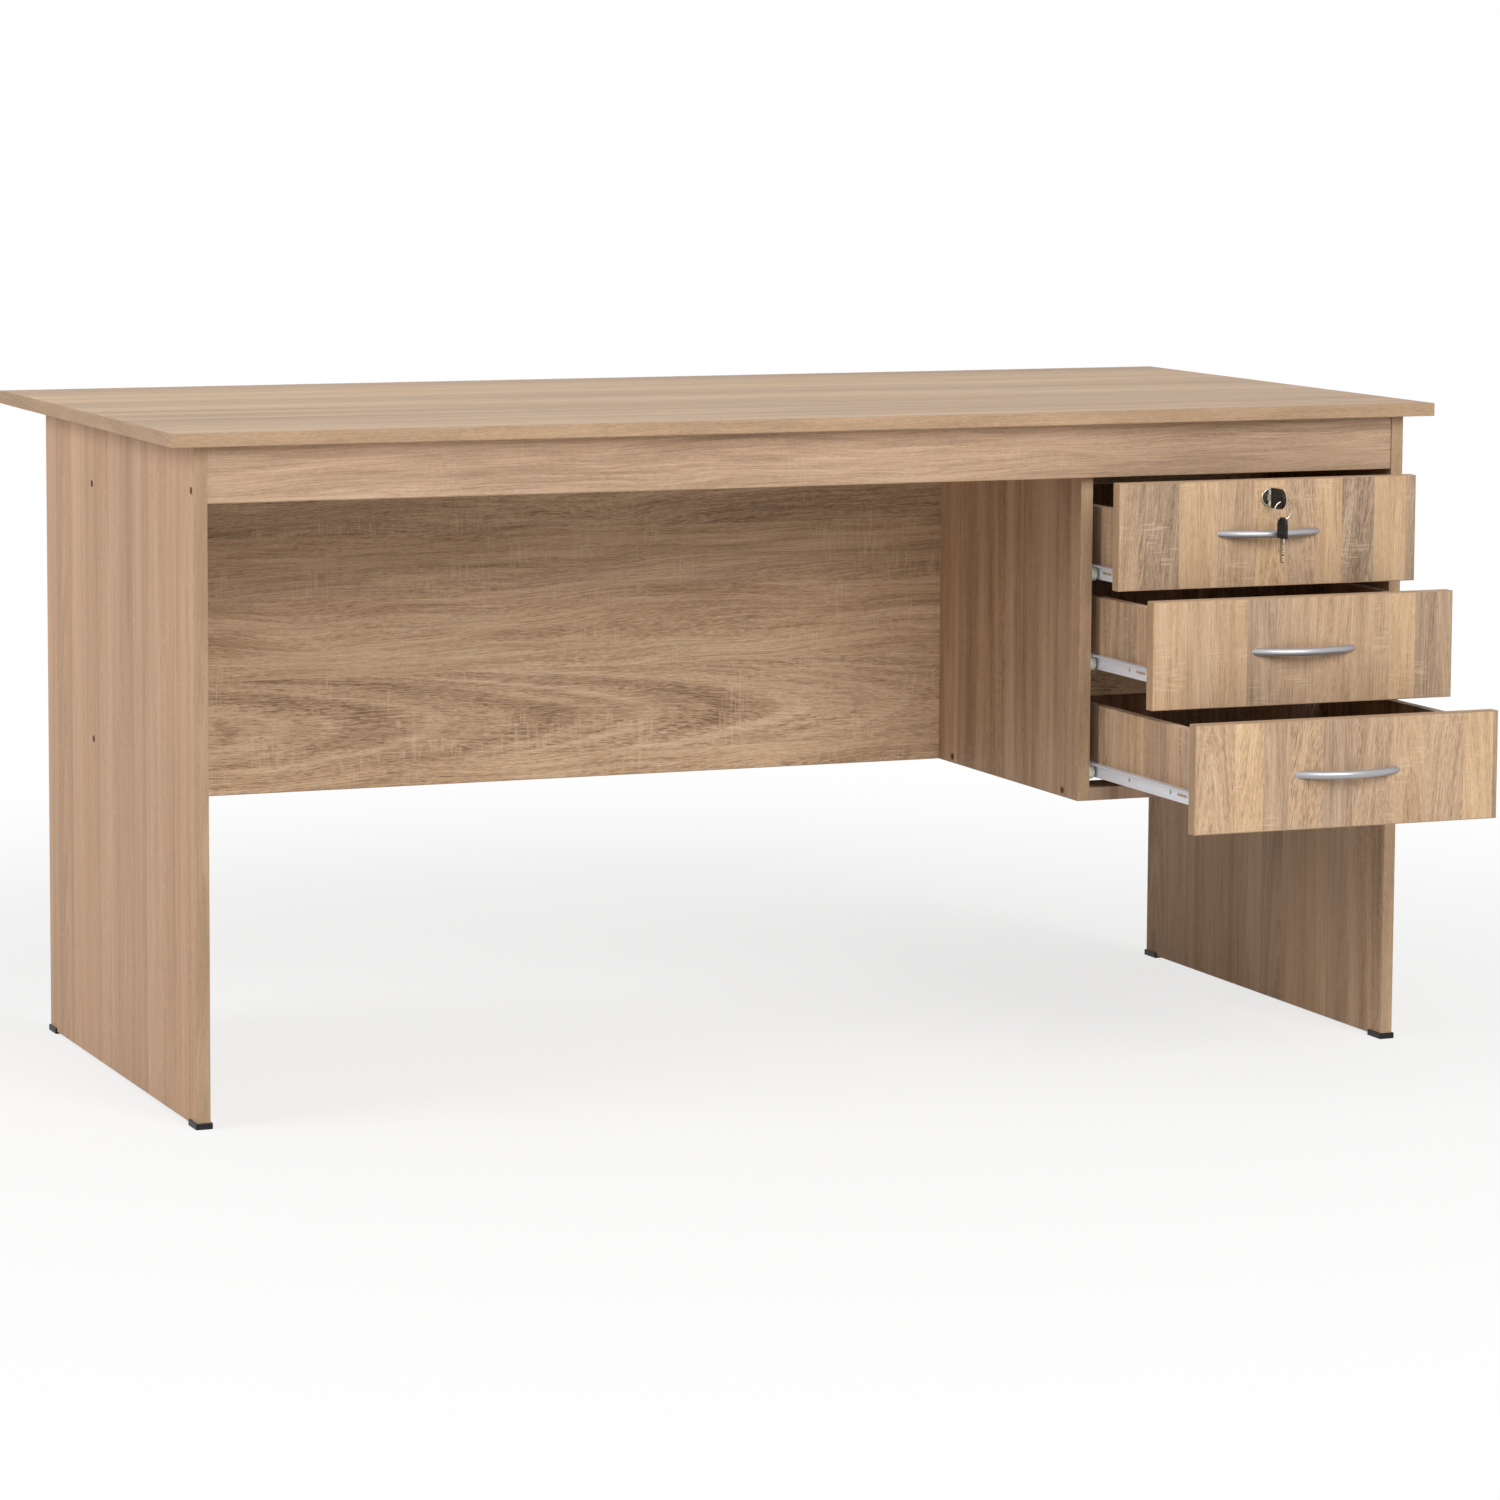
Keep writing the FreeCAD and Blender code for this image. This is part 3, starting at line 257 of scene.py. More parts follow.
def oak_print(name, look, along, across, shift):
    """Melamine paper printed with sawn oak: matt, with staves, growth lines, dark pores and pale saw marks."""
    values = OAK_LOOKS[look]
    tones = bpy.context.scene.desk_finishes
    material, tree, shader, place = new_material(f"oak_print_{name}")
    turn = Matrix((along, across, along.cross(across))).to_euler()
    laid = add(tree, "Mapping", {"Vector": place, "Location": shift, "Rotation": turn, "Scale": (1 / MM,) * 3})
    spot = add(tree, "SeparateXYZ", {"Vector": laid[0]})
    stave = add(tree, "TexVoronoi", {"W": spot["Y"], "Scale": 1 / values["stave"]}, voronoi_dimensions="1D")
    chance = add(tree, "SeparateColor", {"Color": stave["Color"]})
    depth = add(tree, "Math", {0: chance["Blue"], 1: STAVE_STEP}, operation="MULTIPLY")
    own = add(tree, "CombineXYZ", {"Z": depth[0]})
    cloud_place = add(tree, "VectorMath", {0: laid[0], 1: (1 / values["run"], 1 / values["spread"], 0),
                                           2: own[0]}, operation="MULTIPLY_ADD")
    cloud = add(tree, "TexNoise", {"Vector": cloud_place[0], "Scale": 1.0, "Detail": 1.5})
    slope = add(tree, "Math", {0: chance["Green"], 1: 2 * values["slant"], 2: -values["slant"]},
                operation="MULTIPLY_ADD")
    leant = add(tree, "Math", {0: slope[0], 1: spot["X"], 2: spot["Y"]}, operation="MULTIPLY_ADD")
    swept = add(tree, "Math", {0: cloud["Fac"], 1: 2 * values["sweep"], 2: leant[0]}, operation="MULTIPLY_ADD")
    grain = add(tree, "CombineXYZ", {"X": spot["X"], "Y": swept[0], "Z": depth[0]})
    layers = {}
    for layer, (run, width), detail in (("rings", (values["run"], values["ring"]), 5), ("fibres", FIBRE, 5),
                                        ("dashes", DASH, 2), ("pores", PORE, 0)):
        sized = add(tree, "VectorMath", {0: grain[0], 1: (1 / run, 1 / width, 1)}, operation="MULTIPLY")
        noise = add(tree, "TexNoise", {"Vector": sized[0], "Scale": 1.0, "Detail": detail, "Roughness": 0.75})
        layers[layer] = noise["Fac"]
    # In a few staves the growth lines fold over the middle into pointed flames.
    folded = add(tree, "Math", {0: stave["Distance"], 1: stave["Distance"]}, operation="MULTIPLY")
    ahead = add(tree, "Math", {0: spot["X"], 1: 1 / values["flame"]}, operation="MULTIPLY")
    curled = add(tree, "Math", {0: folded[0], 1: FLAME_CURL, 2: ahead[0]}, operation="MULTIPLY_ADD")
    flame_place = add(tree, "CombineXYZ", {"X": curled[0], "Y": cloud["Fac"], "Z": depth[0]})
    flame = add(tree, "TexNoise", {"Vector": flame_place[0], "Scale": 1.5, "Detail": 4.0, "Roughness": 0.6})
    chosen = add(tree, "Math", {0: chance["Green"], 1: 1 - values["flames"]}, operation="GREATER_THAN")
    lines = add(tree, "Mix", {0: chosen[0], 2: layers["rings"], 3: flame["Fac"]}, data_type="FLOAT")
    parts = {"staves": chance["Red"], "clouds": cloud["Fac"], "rings": lines[0], "fibres": layers["fibres"]}
    tone = values["tone"] - sum(values[part] for part in parts) / 2
    for part, source in parts.items():
        tone = add(tree, "Math", {0: source, 1: values[part], 2: tone}, operation="MULTIPLY_ADD")[0]
    # Staves whose lines lean were cut through more pores, so they look coarser.
    lean = add(tree, "Math", {0: slope[0]}, operation="ABSOLUTE")
    coarse = add(tree, "MapRange", {"Value": lean[0], 1: 0.3 * values["slant"], 2: values["slant"], 3: 0.35, 4: 1.0})
    centred = add(tree, "Math", {0: layers["dashes"], 1: 0.5}, operation="SUBTRACT")
    dashed = add(tree, "Math", {0: centred[0], 1: coarse[0]}, operation="MULTIPLY")
    crisp = add(tree, "Math", {0: dashed[0], 1: values["dashes"], 2: tone}, operation="MULTIPLY_ADD")
    ramp = add(tree, "ValToRGB", {"Fac": crisp[0]})["Color"]
    stops = ramp.node.color_ramp.elements
    for stop, shade in ((0.3, tones.oak_brown), (0.55, tones.oak_tan), (0.8, tones.oak_light)):
        stops.new(stop).color = shade
    stops[0].color = tones.oak_dark
    stops[-1].color = tones.oak_pale
    # Pores crowd where the growth lines are dark.
    crowd = add(tree, "MapRange", {"Value": lines[0], 1: 0.6, 2: 0.42, 3: 0.25 * values["pores"], 4: values["pores"]})
    crowded = add(tree, "Math", {0: crowd[0], 1: coarse[0]}, operation="MULTIPLY")
    pored = add(tree, "MapRange", {"Value": layers["pores"], 1: PORE_EDGE[0], 2: PORE_EDGE[1], 3: 0.0, 4: crowded[0]})
    dark = add(tree, "Mix", {FACTOR: pored[0], FIRST: ramp, SECOND: tones.oak_pore}, data_type="RGBA")
    saw_place = add(tree, "VectorMath", {0: laid[0], 1: (1 / SAW_MARK[0], 1 / SAW_MARK[1], 0.1)},
                    operation="MULTIPLY")
    saw = add(tree, "TexNoise", {"Vector": saw_place[0], "Scale": 1.0, "Detail": 0.0})
    patch_place = add(tree, "VectorMath", {0: laid[0], 1: (1 / SAW_PATCH[0], 1 / SAW_PATCH[1], 0.1),
                                           2: own[0]}, operation="MULTIPLY_ADD")
    patch = add(tree, "TexNoise", {"Vector": patch_place[0], "Scale": 1.0, "Detail": 1.0})
    patched = add(tree, "MapRange", {"Value": patch["Fac"], 1: SAW_PATCH_EDGE[0], 2: SAW_PATCH_EDGE[1], 3: 0.0,
                                     4: values["saw"]})
    marked = add(tree, "MapRange", {"Value": saw["Fac"], 1: SAW_MARK_EDGE[0], 2: SAW_MARK_EDGE[1], 3: 0.0,
                                    4: patched[0]})
    face = add(tree, "Mix", {FACTOR: marked[0], FIRST: dark[MIXED], SECOND: tones.oak_pale}, data_type="RGBA")
    rough = add(tree, "MapRange", {"Value": layers["fibres"], 1: 0.3, 2: 0.7, 3: 0.5, 4: 0.64})
    bump = add(tree, "Bump", {"Strength": 0.35, "Distance": 0.08 * MM, "Height": layers["fibres"]})
    # Dark staves are greyer than light ones.
    vivid = add(tree, "MapRange", {"Value": chance["Red"], 3: values["vivid"] - 0.4 * values["staves"],
                                   4: values["vivid"] + 0.1 * values["staves"]})
    toned = add(tree, "HueSaturation", {"Hue": values["hue"], "Saturation": vivid[0], "Color": face[MIXED]})
    tree.links.new(toned[0], shader.inputs["Base Color"])
    tree.links.new(rough[0], shader.inputs["Roughness"])
    tree.links.new(bump["Normal"], shader.inputs["Normal"])
    settle(shader, specular_ior_level=0.22)
    return material


# Finishes of the other pieces. Clouds of one detail, with their sizes in millimetres along X, Y and Z, mix the partner
# colour with the shade from the settings. Rough has two levels of the clouds and the roughness at each. Relief has the
# strength of a bump and its height in millimetres. The bump follows the clouds, or a grain of its own: a texture, its
# size in millimetres and its other sockets. The rest are plain values of the shader.
FINISHES = {
    # Pressed wood fibre sheet: matt brown, with fine darker fibres pointing every way.
    "pressed_hardboard": dict(shade="hardboard", partner="6F543C", clouds=(1.6, 1.6, 1.6), detail=3, distortion=1.5,
                              relief=(0.3, 0.1), roughness=0.6, specular_ior_level=0.3),
    # Turned beech: pale and even, with short darker flecks along the grain.
    "beech": dict(shade="beech", partner="A97F52", clouds=(0.6, 0.6, 4), detail=1, roughness=0.6),
    # White epoxy powder coat on steel: a soft sheen broken by a fine orange peel.
    "powder_coat": dict(shade="powder", partner="D9DCE4", clouds=(30, 30, 30), detail=2,
                        relief=(0.25, 0.04), grain=("TexNoise", 0.9, {"Detail": 1}), roughness=0.34, ior=1.5),
    # Moulded nylon: creamy, slightly waxy, and a little darker where it has rolled.
    "moulded_nylon": dict(shade="nylon", partner="D6D0BC", clouds=(4, 4, 4), detail=3, roughness=0.42, ior=1.53,
                          subsurface_weight=0.1, subsurface_scale=1.5 * MM),
    # Silver lacquer on zinc alloy: metal flake in a satin coat, so it shades softly as well as shining.
    "silver_lacquer": dict(shade="satin", partner="9E9EA1", clouds=(14, 0.5, 0.5), detail=2,
                           rough=(0.3, 0.7, 0.3, 0.38), metallic=0.6),
    # Bright nickel plate: a warm mirror with faint handling marks.
    "nickel_plate": dict(shade="nickel", partner="B9B1A3", clouds=(1.2, 1.2, 1.2), detail=4,
                         rough=(0.35, 0.7, 0.12, 0.26), metallic=1.0),
    # Zinc plated steel: cool grey metal, cloudy and half dull.
    "zinc_plate": dict(shade="zinc", partner="8F9296", clouds=(3, 3, 3), detail=4, rough=(0.3, 0.7, 0.3, 0.48),
                       metallic=1.0),
    # Moulded black plastic: near black with a fine leathery mould grain.
    "moulded_black_plastic": dict(shade="black", partner="080808", clouds=(6, 6, 6), detail=3,
                                  rough=(0.3, 0.7, 0.38, 0.52), relief=(0.2, 0.05),
                                  grain=("TexVoronoi", 0.7, {}), specular_ior_level=0.3),
    # Moulded brown plastic: a matt cap close to the print's darker tone.
    "moulded_brown_plastic": dict(shade="brown", partner="4C3323", clouds=(2, 2, 2), detail=2, roughness=0.6,
                                  specular_ior_level=0.2),
}


def finish(name):
    """One of the finishes, made once."""
    made = bpy.data.materials.get(name)
    if made:
        return made
    values = dict(FINISHES[name])
    material, tree, shader, place = new_material(name)
    shade = getattr(bpy.context.scene.desk_finishes, values.pop("shade"))
    scale = [1 / (size * MM) for size in values.pop("clouds")]
    laid = add(tree, "Mapping", {"Vector": place, "Scale": scale})
    cloud = add(tree, "TexNoise", {"Vector": laid[0], "Scale": 1.0, "Detail": values.pop("detail"),
                                   "Distortion": values.pop("distortion", 0.0)})["Fac"]
    mixed = add(tree, "Mix", {FACTOR: cloud, FIRST: linear(values.pop("partner")), SECOND: shade}, data_type="RGBA")
    tree.links.new(mixed[MIXED], shader.inputs["Base Color"])
    if "rough" in values:
        rough = add(tree, "MapRange", {"Value": cloud, **dict(enumerate(values.pop("rough"), 1))})
        tree.links.new(rough[0], shader.inputs["Roughness"])
    raised = cloud
    if "grain" in values:
        texture, size, sockets = values.pop("grain")
        raised = add(tree, texture, {"Vector": place, "Scale": 1 / (size * MM), **sockets})[0]
    if "relief" in values:
        strength, height = values.pop("relief")
        bump = add(tree, "Bump", {"Strength": strength, "Distance": height * MM, "Height": raised})
        tree.links.new(bump["Normal"], shader.inputs["Normal"])
    settle(shader, **values)
    return material


def strip_finish(axis):
    """The printed edge strip with its grain along one axis, made once."""
    name = f"strip_{'xyz'[axis]}"
    # Across both other axes, so that the lines run along whichever face of the strip is seen.
    across = (AXES[(axis + 1) % 3] + AXES[(axis + 2) % 3]).normalized()
    made = bpy.data.materials.get(f"oak_print_{name}")
    return made or oak_print(name, "strip", AXES[axis], across, (310.0, 70.0, 0.0))


def once(items):
    """Each item once, in the order they come in, which a set doesn't keep from run to run."""
    return list(dict.fromkeys(items))


def verts_of(items):
    """All the vertices of some edges or faces."""
    return once(vert for item in items for vert in item.verts)


def edges_of(verts):
    """All the edges that meet some vertices."""
    return once(edge for vert in verts for edge in vert.link_edges)


def shells(bm):
    """The faces of each separate shell of a mesh."""
    left = dict.fromkeys(bm.faces)
    while left:
        rim = [left.popitem()[0]]
        faces = []
        while rim:
            face = rim.pop()
            faces.append(face)
            near = once(other for edge in face.edges for other in edge.link_faces if other in left)
            for other in near:
                del left[other]
            rim += near
        yield faces


def solids(node):
    """The separate solids of a CAD node, each with its lowest corner, its highest corner and its points."""
    bm = bmesh.new()
    bm.from_mesh(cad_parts[node].data)
    bmesh.ops.remove_doubles(bm, verts=bm.verts, dist=MERGE)
    found = []
    for faces in shells(bm):
        points = [vert.co.copy() for vert in verts_of(faces)]
        low = Vector(min(point[axis] for point in points) for axis in range(3))
        high = Vector(max(point[axis] for point in points) for axis in range(3))
        found.append((low, high, points))
    bm.free()
    return sorted(found, key=lambda solid: [round(value, 4) for value in (*solid[0], *solid[1])])


def make(bm, node, body, materials, smooth=False):
    """Turn a finished mesh into a piece that rides on its body and stands for its CAD node."""
    name = f"{node}_visual"
    for faces in list(shells(bm)):
        bmesh.ops.recalc_face_normals(bm, faces=faces)
        if sum(face.calc_area() * face.normal.dot(face.calc_center_median()) for face in faces) < 0:
            bmesh.ops.reverse_faces(bm, faces=faces)
    mesh = bpy.data.meshes.new(name)
    bm.to_mesh(mesh)
    bm.free()
    for material in materials:
        mesh.materials.append(material)
    if smooth:
        mesh.shade_smooth()
        mesh.set_sharp_from_angle(angle=SHARP)
    piece = bpy.data.objects.new(name, mesh)
    bpy.context.scene.collection.objects.link(piece)
    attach(piece, body)
    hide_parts(node)


def only(items, kind):
    """Those of a mesh's items that are of one kind."""
    return [item for item in items if isinstance(item, kind)]


def made_since(bm, before):
    """The faces that aren't in an earlier set."""
    return [face for face in bm.faces if face not in before]


def facing(faces, way):
    """The faces that look one way, each with its middle."""
    return [(face, face.calc_center_median()) for face in faces if face.normal.dot(way) > FACING]


def block(bm, low, high, material=0):
    """A block between two corners, and its vertices."""
    verts = bmesh.ops.create_cube(bm, size=1)["verts"]
    bmesh.ops.scale(bm, vec=high - low, verts=verts)
    bmesh.ops.translate(bm, vec=(low + high) / 2, verts=verts)
    for face in {face for vert in verts for face in vert.link_faces}:
        face.material_index = material
    return verts


def soften(bm, edges, size, segments=2):
    """Round a set of edges."""
    bmesh.ops.bevel(bm, geom=edges, offset=size, offset_type="OFFSET", affect="EDGES", segments=segments,
                    profile=0.5, material=-1, clamp_overlap=True)


def slab(bm, low, high, edge, segments=2):
    """A block with all its edges rounded."""
    soften(bm, edges_of(block(bm, low, high)), edge, segments)


def strip(bm, low, high, axis, way, thick, edge, material):
    """An edge strip laid on one side of a board, with its outer edges rounded."""
    low, high = low.copy(), high.copy()
    if way > 0:
        low[axis], high[axis] = high[axis], high[axis] + thick
    else:
        low[axis], high[axis] = low[axis] - thick, low[axis]
    verts = block(bm, low, high, material)
    outside = high[axis] if way > 0 else low[axis]
    outer = [vert for vert in verts if abs(vert.co[axis] - outside) < MERGE]
    soften(bm, [side for side in edges_of(outer) if all(vert in outer for vert in side.verts)], edge)


def strip_frame(bm, low, high, through, thick, edge):
    """A strip all round a board, with its outer edges rounded. A side's material is that of the axis it runs along."""
    rim = edges_of(block(bm, low, high))
    ends = [face for face in bm.faces if abs(face.normal[through]) > FACING]
    bmesh.ops.inset_region(bm, faces=ends, thickness=thick, use_boundary=True, use_even_offset=True)
    loops = [side for face in ends for side in face.edges]
    bmesh.ops.delete(bm, geom=ends, context="FACES_ONLY")
    bmesh.ops.bridge_loops(bm, edges=loops)
    runs = [axis for axis in range(3) if axis != through]
    for face in bm.faces:
        middle = face.calc_center_median()
        gaps = {run: min(middle[run] - low[run], high[run] - middle[run]) for run in runs}
        face.material_index = max(gaps, key=gaps.get)
    soften(bm, [side for side in rim if side.is_valid], edge)


def turned(bm, centre, axis, profile, steps=40, closed=False):
    """A turned piece. The profile has pairs, in millimetres, of how far out and how far along the axis."""
    side = axis.orthogonal().normalized()
    verts = [bm.verts.new(centre + (side * out + axis * along) * MM) for out, along in profile]
    pairs = list(zip(verts, verts[1:])) + ([(verts[-1], verts[0])] if closed else [])
    edges = [bm.edges.new(pair) for pair in pairs]
    before = set(bm.faces)
    bmesh.ops.spin(bm, geom=verts + edges, cent=centre, axis=axis, angle=FULL_TURN, steps=steps, use_merge=True)
    faces = made_since(bm, before)
    bmesh.ops.remove_doubles(bm, verts=verts_of(faces), dist=MERGE)
    return [face for face in faces if face.is_valid]


def loop(bm, corners):
    """A closed loop of edges through a few corners."""
    verts = [bm.verts.new(corner) for corner in corners]
    return [bm.edges.new(pair) for pair in zip(verts, verts[1:] + verts[:1])]


def round_loop(bm, centre, axis, radius, steps=24, stretch=None):
    """A round loop of edges about an axis, or a slot where a stretch pulls its halves apart."""
    place = Matrix.Translation(centre) @ axis.to_track_quat("Z", "Y").to_matrix().to_4x4()
    verts = bmesh.ops.create_circle(bm, segments=steps, radius=radius, matrix=place)["verts"]
    if stretch:
        for way in (1, -1):
            half = [vert for vert in verts if (vert.co - centre).dot(stretch) * way > 0]
            bmesh.ops.translate(bm, vec=stretch * way, verts=half)
    return edges_of(verts)


def thicken(bm, faces, thick):
    """Extrude a flat sheet of faces into a solid, and return the faces of its far side."""
    raised = bmesh.ops.extrude_face_region(bm, geom=faces)["geom"]
    bmesh.ops.translate(bm, vec=thick, verts=only(raised, BMVert))
    return only(raised, BMFace)


def pull(bm, faces, step):
    """Pull some faces of a solid outwards, or push them in."""
    thicken(bm, faces, step)
    bmesh.ops.delete(bm, geom=[face for face in faces if face.is_valid], context="FACES")


def score(bm, before, cuts):
    """Cut the faces made since an earlier set along planes, each square to an axis at one place on it."""
    for axis, spot in cuts:
        new = made_since(bm, before)
        geom = new + once(edge for face in new for edge in face.edges) + verts_of(new)
        bmesh.ops.bisect_plane(bm, geom=geom, dist=MERGE, plane_co=axis * spot, plane_no=axis)
    return made_since(bm, before)


def corners_of(faces):
    """The square edges of some faces, outside corners and inside ones."""
    edges = once(edge for face in faces for edge in face.edges)
    return [edge for edge in edges if len(edge.link_faces) == 2 and edge.calc_face_angle(0) > CORNER]


def plate(bm, loops, thick):
    """A flat plate from its outer loop and the loops of its holes, and the faces of its two sides."""
    before = set(bm.faces)
    filled = bmesh.ops.triangle_fill(bm, edges=loops, use_beauty=True, normal=thick.normalized())["geom"]
    faces = only(filled, BMFace)
    tops = thicken(bm, faces, thick)
    bmesh.ops.recalc_face_normals(bm, faces=made_since(bm, before))
    return faces, tops


class DeskOperator(bpy.types.Operator):
    """Shared by the desk's operators."""

    bl_options = {"REGISTER", "UNDO"}


class DESK_OT_fixed_boards(DeskOperator):
    """Build the worktop, end panels, rail, modesty panel and pedestal boards"""

    bl_idname = "desk.fixed_boards"
    bl_label = "Fixed boards"

    def execute(self, context):
        edge = context.scene.desk_boards.board_edge
        # Look of each board, the ways along and across its grain, and where on the print it was cut, in millimetres.
        boards = {
            "desktop_board": ("worktop", X, Y, (0, 40, 0)),
            "left_end_panel": ("upright", Z, Y, (130, 0, 0)),
            "right_end_panel": ("inner", Z, Y, (910, 330, 0)),
            "front_rail": ("rail", X, Z, (200, 510, 0)),
            "modesty_panel": ("modesty", X, Z, (1093, 579, 0)),
            "pedestal_side_panel": ("inner", Z, Y, (430, 120, 0)),
            "pedestal_rails": ("rail", X, Y, (900, 250, 0)),
        }
        for node, (look, along, across, shift) in boards.items():
            bm = bmesh.new()
            for low, high, _ in solids(node):
                slab(bm, low, high, edge)
            make(bm, node, "desk", [oak_print(node, look, along, across, shift)])
        return {"FINISHED"}


class DESK_OT_edge_strips(DeskOperator):
    """Lay the printed edge strips on the boards"""

    bl_idname = "desk.edge_strips"
    bl_label = "Edge strips"

    def execute(self, context):
        sizes = context.scene.desk_boards
        finishes = [strip_finish(axis) for axis in range(3)]
        bm = bmesh.new()
        low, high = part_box("desktop_board")
        margin = Vector((sizes.top_strip, sizes.top_strip, 0))
        strip_frame(bm, low - margin, high + margin, 2, sizes.top_strip, sizes.top_strip_edge)
        # For each strip, the axis that its side of the board faces along, which way, and the axis that it runs along.
        sides = {
            "left_end_panel": ((1, -1, 2), (1, 1, 2)),
            "right_end_panel": ((1, -1, 2), (1, 1, 2)),
            "front_rail": ((2, -1, 0),),
            "modesty_panel": ((2, -1, 0),),
            "pedestal_side_panel": ((2, -1, 1), (1, -1, 2)),
        }
        for node, places in sides.items():
            low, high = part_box(node)
            for axis, way, run in places:
                foot = low.copy()
                # The pedestal's front strip also covers the end of its lower one.
                if node == "pedestal_side_panel" and axis == 1:
                    foot.z -= sizes.strip
                strip(bm, foot, high, axis, way, sizes.strip, sizes.strip_edge, run)
        make(bm, "desk_edging", "desk", finishes)
        for drawer in DRAWERS:
            node = f"{drawer}_front_edging"
            bm = bmesh.new()
            strip_frame(bm, *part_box(node), 1, sizes.strip, sizes.strip_edge)
            make(bm, node, f"{drawer}_drawer", finishes)
        return {"FINISHED"}


class DESK_OT_drawer_boards(DeskOperator):
    """Build the drawers' fronts, sides, backs and bottoms"""

    bl_idname = "desk.drawer_boards"
    bl_label = "Drawer boards"

    def execute(self, context):
        edge = context.scene.desk_boards.board_edge
        # Where on the print each front was cut, in millimetres, chosen to look like the photo.
        fronts = ((143, 137, 0), (578, 932, 0), (854, 1436, 0))
        for row, drawer in enumerate(DRAWERS):
            boards = {
                "front": ("front", X, fronts[row]),
                "left_side": ("box", Y, (400 * row, 20 + 90 * row, 0)),
                "right_side": ("box", Y, (150 + 400 * row, 260 + 90 * row, 0)),
                "back": ("box", X, (300 + 400 * row, 500 + 90 * row, 0)),
            }
            for part, (look, across, shift) in boards.items():
                node = f"{drawer}_drawer_{part}"
                bm = bmesh.new()
                slab(bm, *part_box(node), edge)
                make(bm, node, f"{drawer}_drawer", [oak_print(node, look, Z, across, shift)])
            node = f"{drawer}_drawer_bottom"
            bm = bmesh.new()
            slab(bm, *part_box(node), edge)
            make(bm, node, f"{drawer}_drawer", [finish("pressed_hardboard")])
        return {"FINISHED"}


class DESK_OT_feet(DeskOperator):
    """Mould the plastic feet on the end panels' lower corners"""

    bl_idname = "desk.feet"
    bl_label = "Feet"

    def execute(self, context):
        sizes = context.scene.desk_boards
        for node in ("left_feet", "right_feet"):
            bm = bmesh.new()
            for low, high, _ in solids(node):
                self.foot(bm, low, high, sizes)
            make(bm, node, "desk", [finish("moulded_black_plastic")])
        return {"FINISHED"}

    def foot(self, bm, low, high, sizes):
        """A base with a wall round three sides."""
        before = set(bm.faces)
        top = high.copy()
        top.z = low.z + sizes.foot_base
        block(bm, low, top)
        front = (low + high).y < 0
        wall_y = low.y + sizes.foot_wall if front else high.y - sizes.foot_wall
        left, right = low.x + sizes.foot_wall, high.x - sizes.foot_wall
        rims = [face for face, middle in facing(score(bm, before, ((X, left), (X, right), (Y, wall_y))), Z)
                if not left < middle.x < right or (middle.y > wall_y) != front]
        pull(bm, rims, Z * (high.z - top.z))
        soften(bm, corners_of(made_since(bm, before)), sizes.foot_edge)


class DESK_OT_handles(DeskOperator):
    """Bend the bow handles"""

    bl_idname = "desk.handles"
    bl_label = "Handles"
    # How far a boss reaches out into its bow, in millimetres.
    boss_reach = 5

    def execute(self, context):
        sizes = context.scene.desk_hardware
        bow = (sizes.bow_half ** 2 + sizes.bow_rise ** 2) / (2 * sizes.bow_rise)
        half_turn = math.asin((sizes.bow_half + 2 * sizes.bow_bar) / bow)
        for drawer in DRAWERS:
            node = f"{drawer}_handle"
            low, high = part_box(node)
            middle = (low + high) / 2
            face = high.y
            centre = Vector((middle.x, face + bow - sizes.bow_rise, middle.z))
            bm = bmesh.new()
            start = Matrix.Rotation(-half_turn, 4, "Z") @ Vector((0, -bow, 0))
            along = Matrix.Rotation(-half_turn, 4, "Z") @ X
            edges = round_loop(bm, centre + start, along, sizes.bow_bar, 32)
            bmesh.ops.spin(bm, geom=verts_of(edges) + edges, cent=centre, axis=Z, angle=2 * half_turn, steps=64)
            bmesh.ops.remove_doubles(bm, verts=bm.verts, dist=MERGE)
            cut = bmesh.ops.bisect_plane(bm, geom=bm.verts[:] + bm.edges[:] + bm.faces[:], dist=MERGE,
                                         plane_co=(0, face, 0), plane_no=Y, clear_outer=True)["geom_cut"]
            bmesh.ops.holes_fill(bm, edges=only(cut, BMEdge), sides=0)
            out = sizes.boss / MM
            for way in (1, -1):
                spot = Vector((middle.x + way * sizes.boss_pitch, face, middle.z))
                turned(bm, spot, -Y, ((0, 0), (out, 0), (out, self.boss_reach), (0, self.boss_reach)), 24)
            make(bm, node, f"{drawer}_drawer", [finish("silver_lacquer")], True)
        return {"FINISHED"}


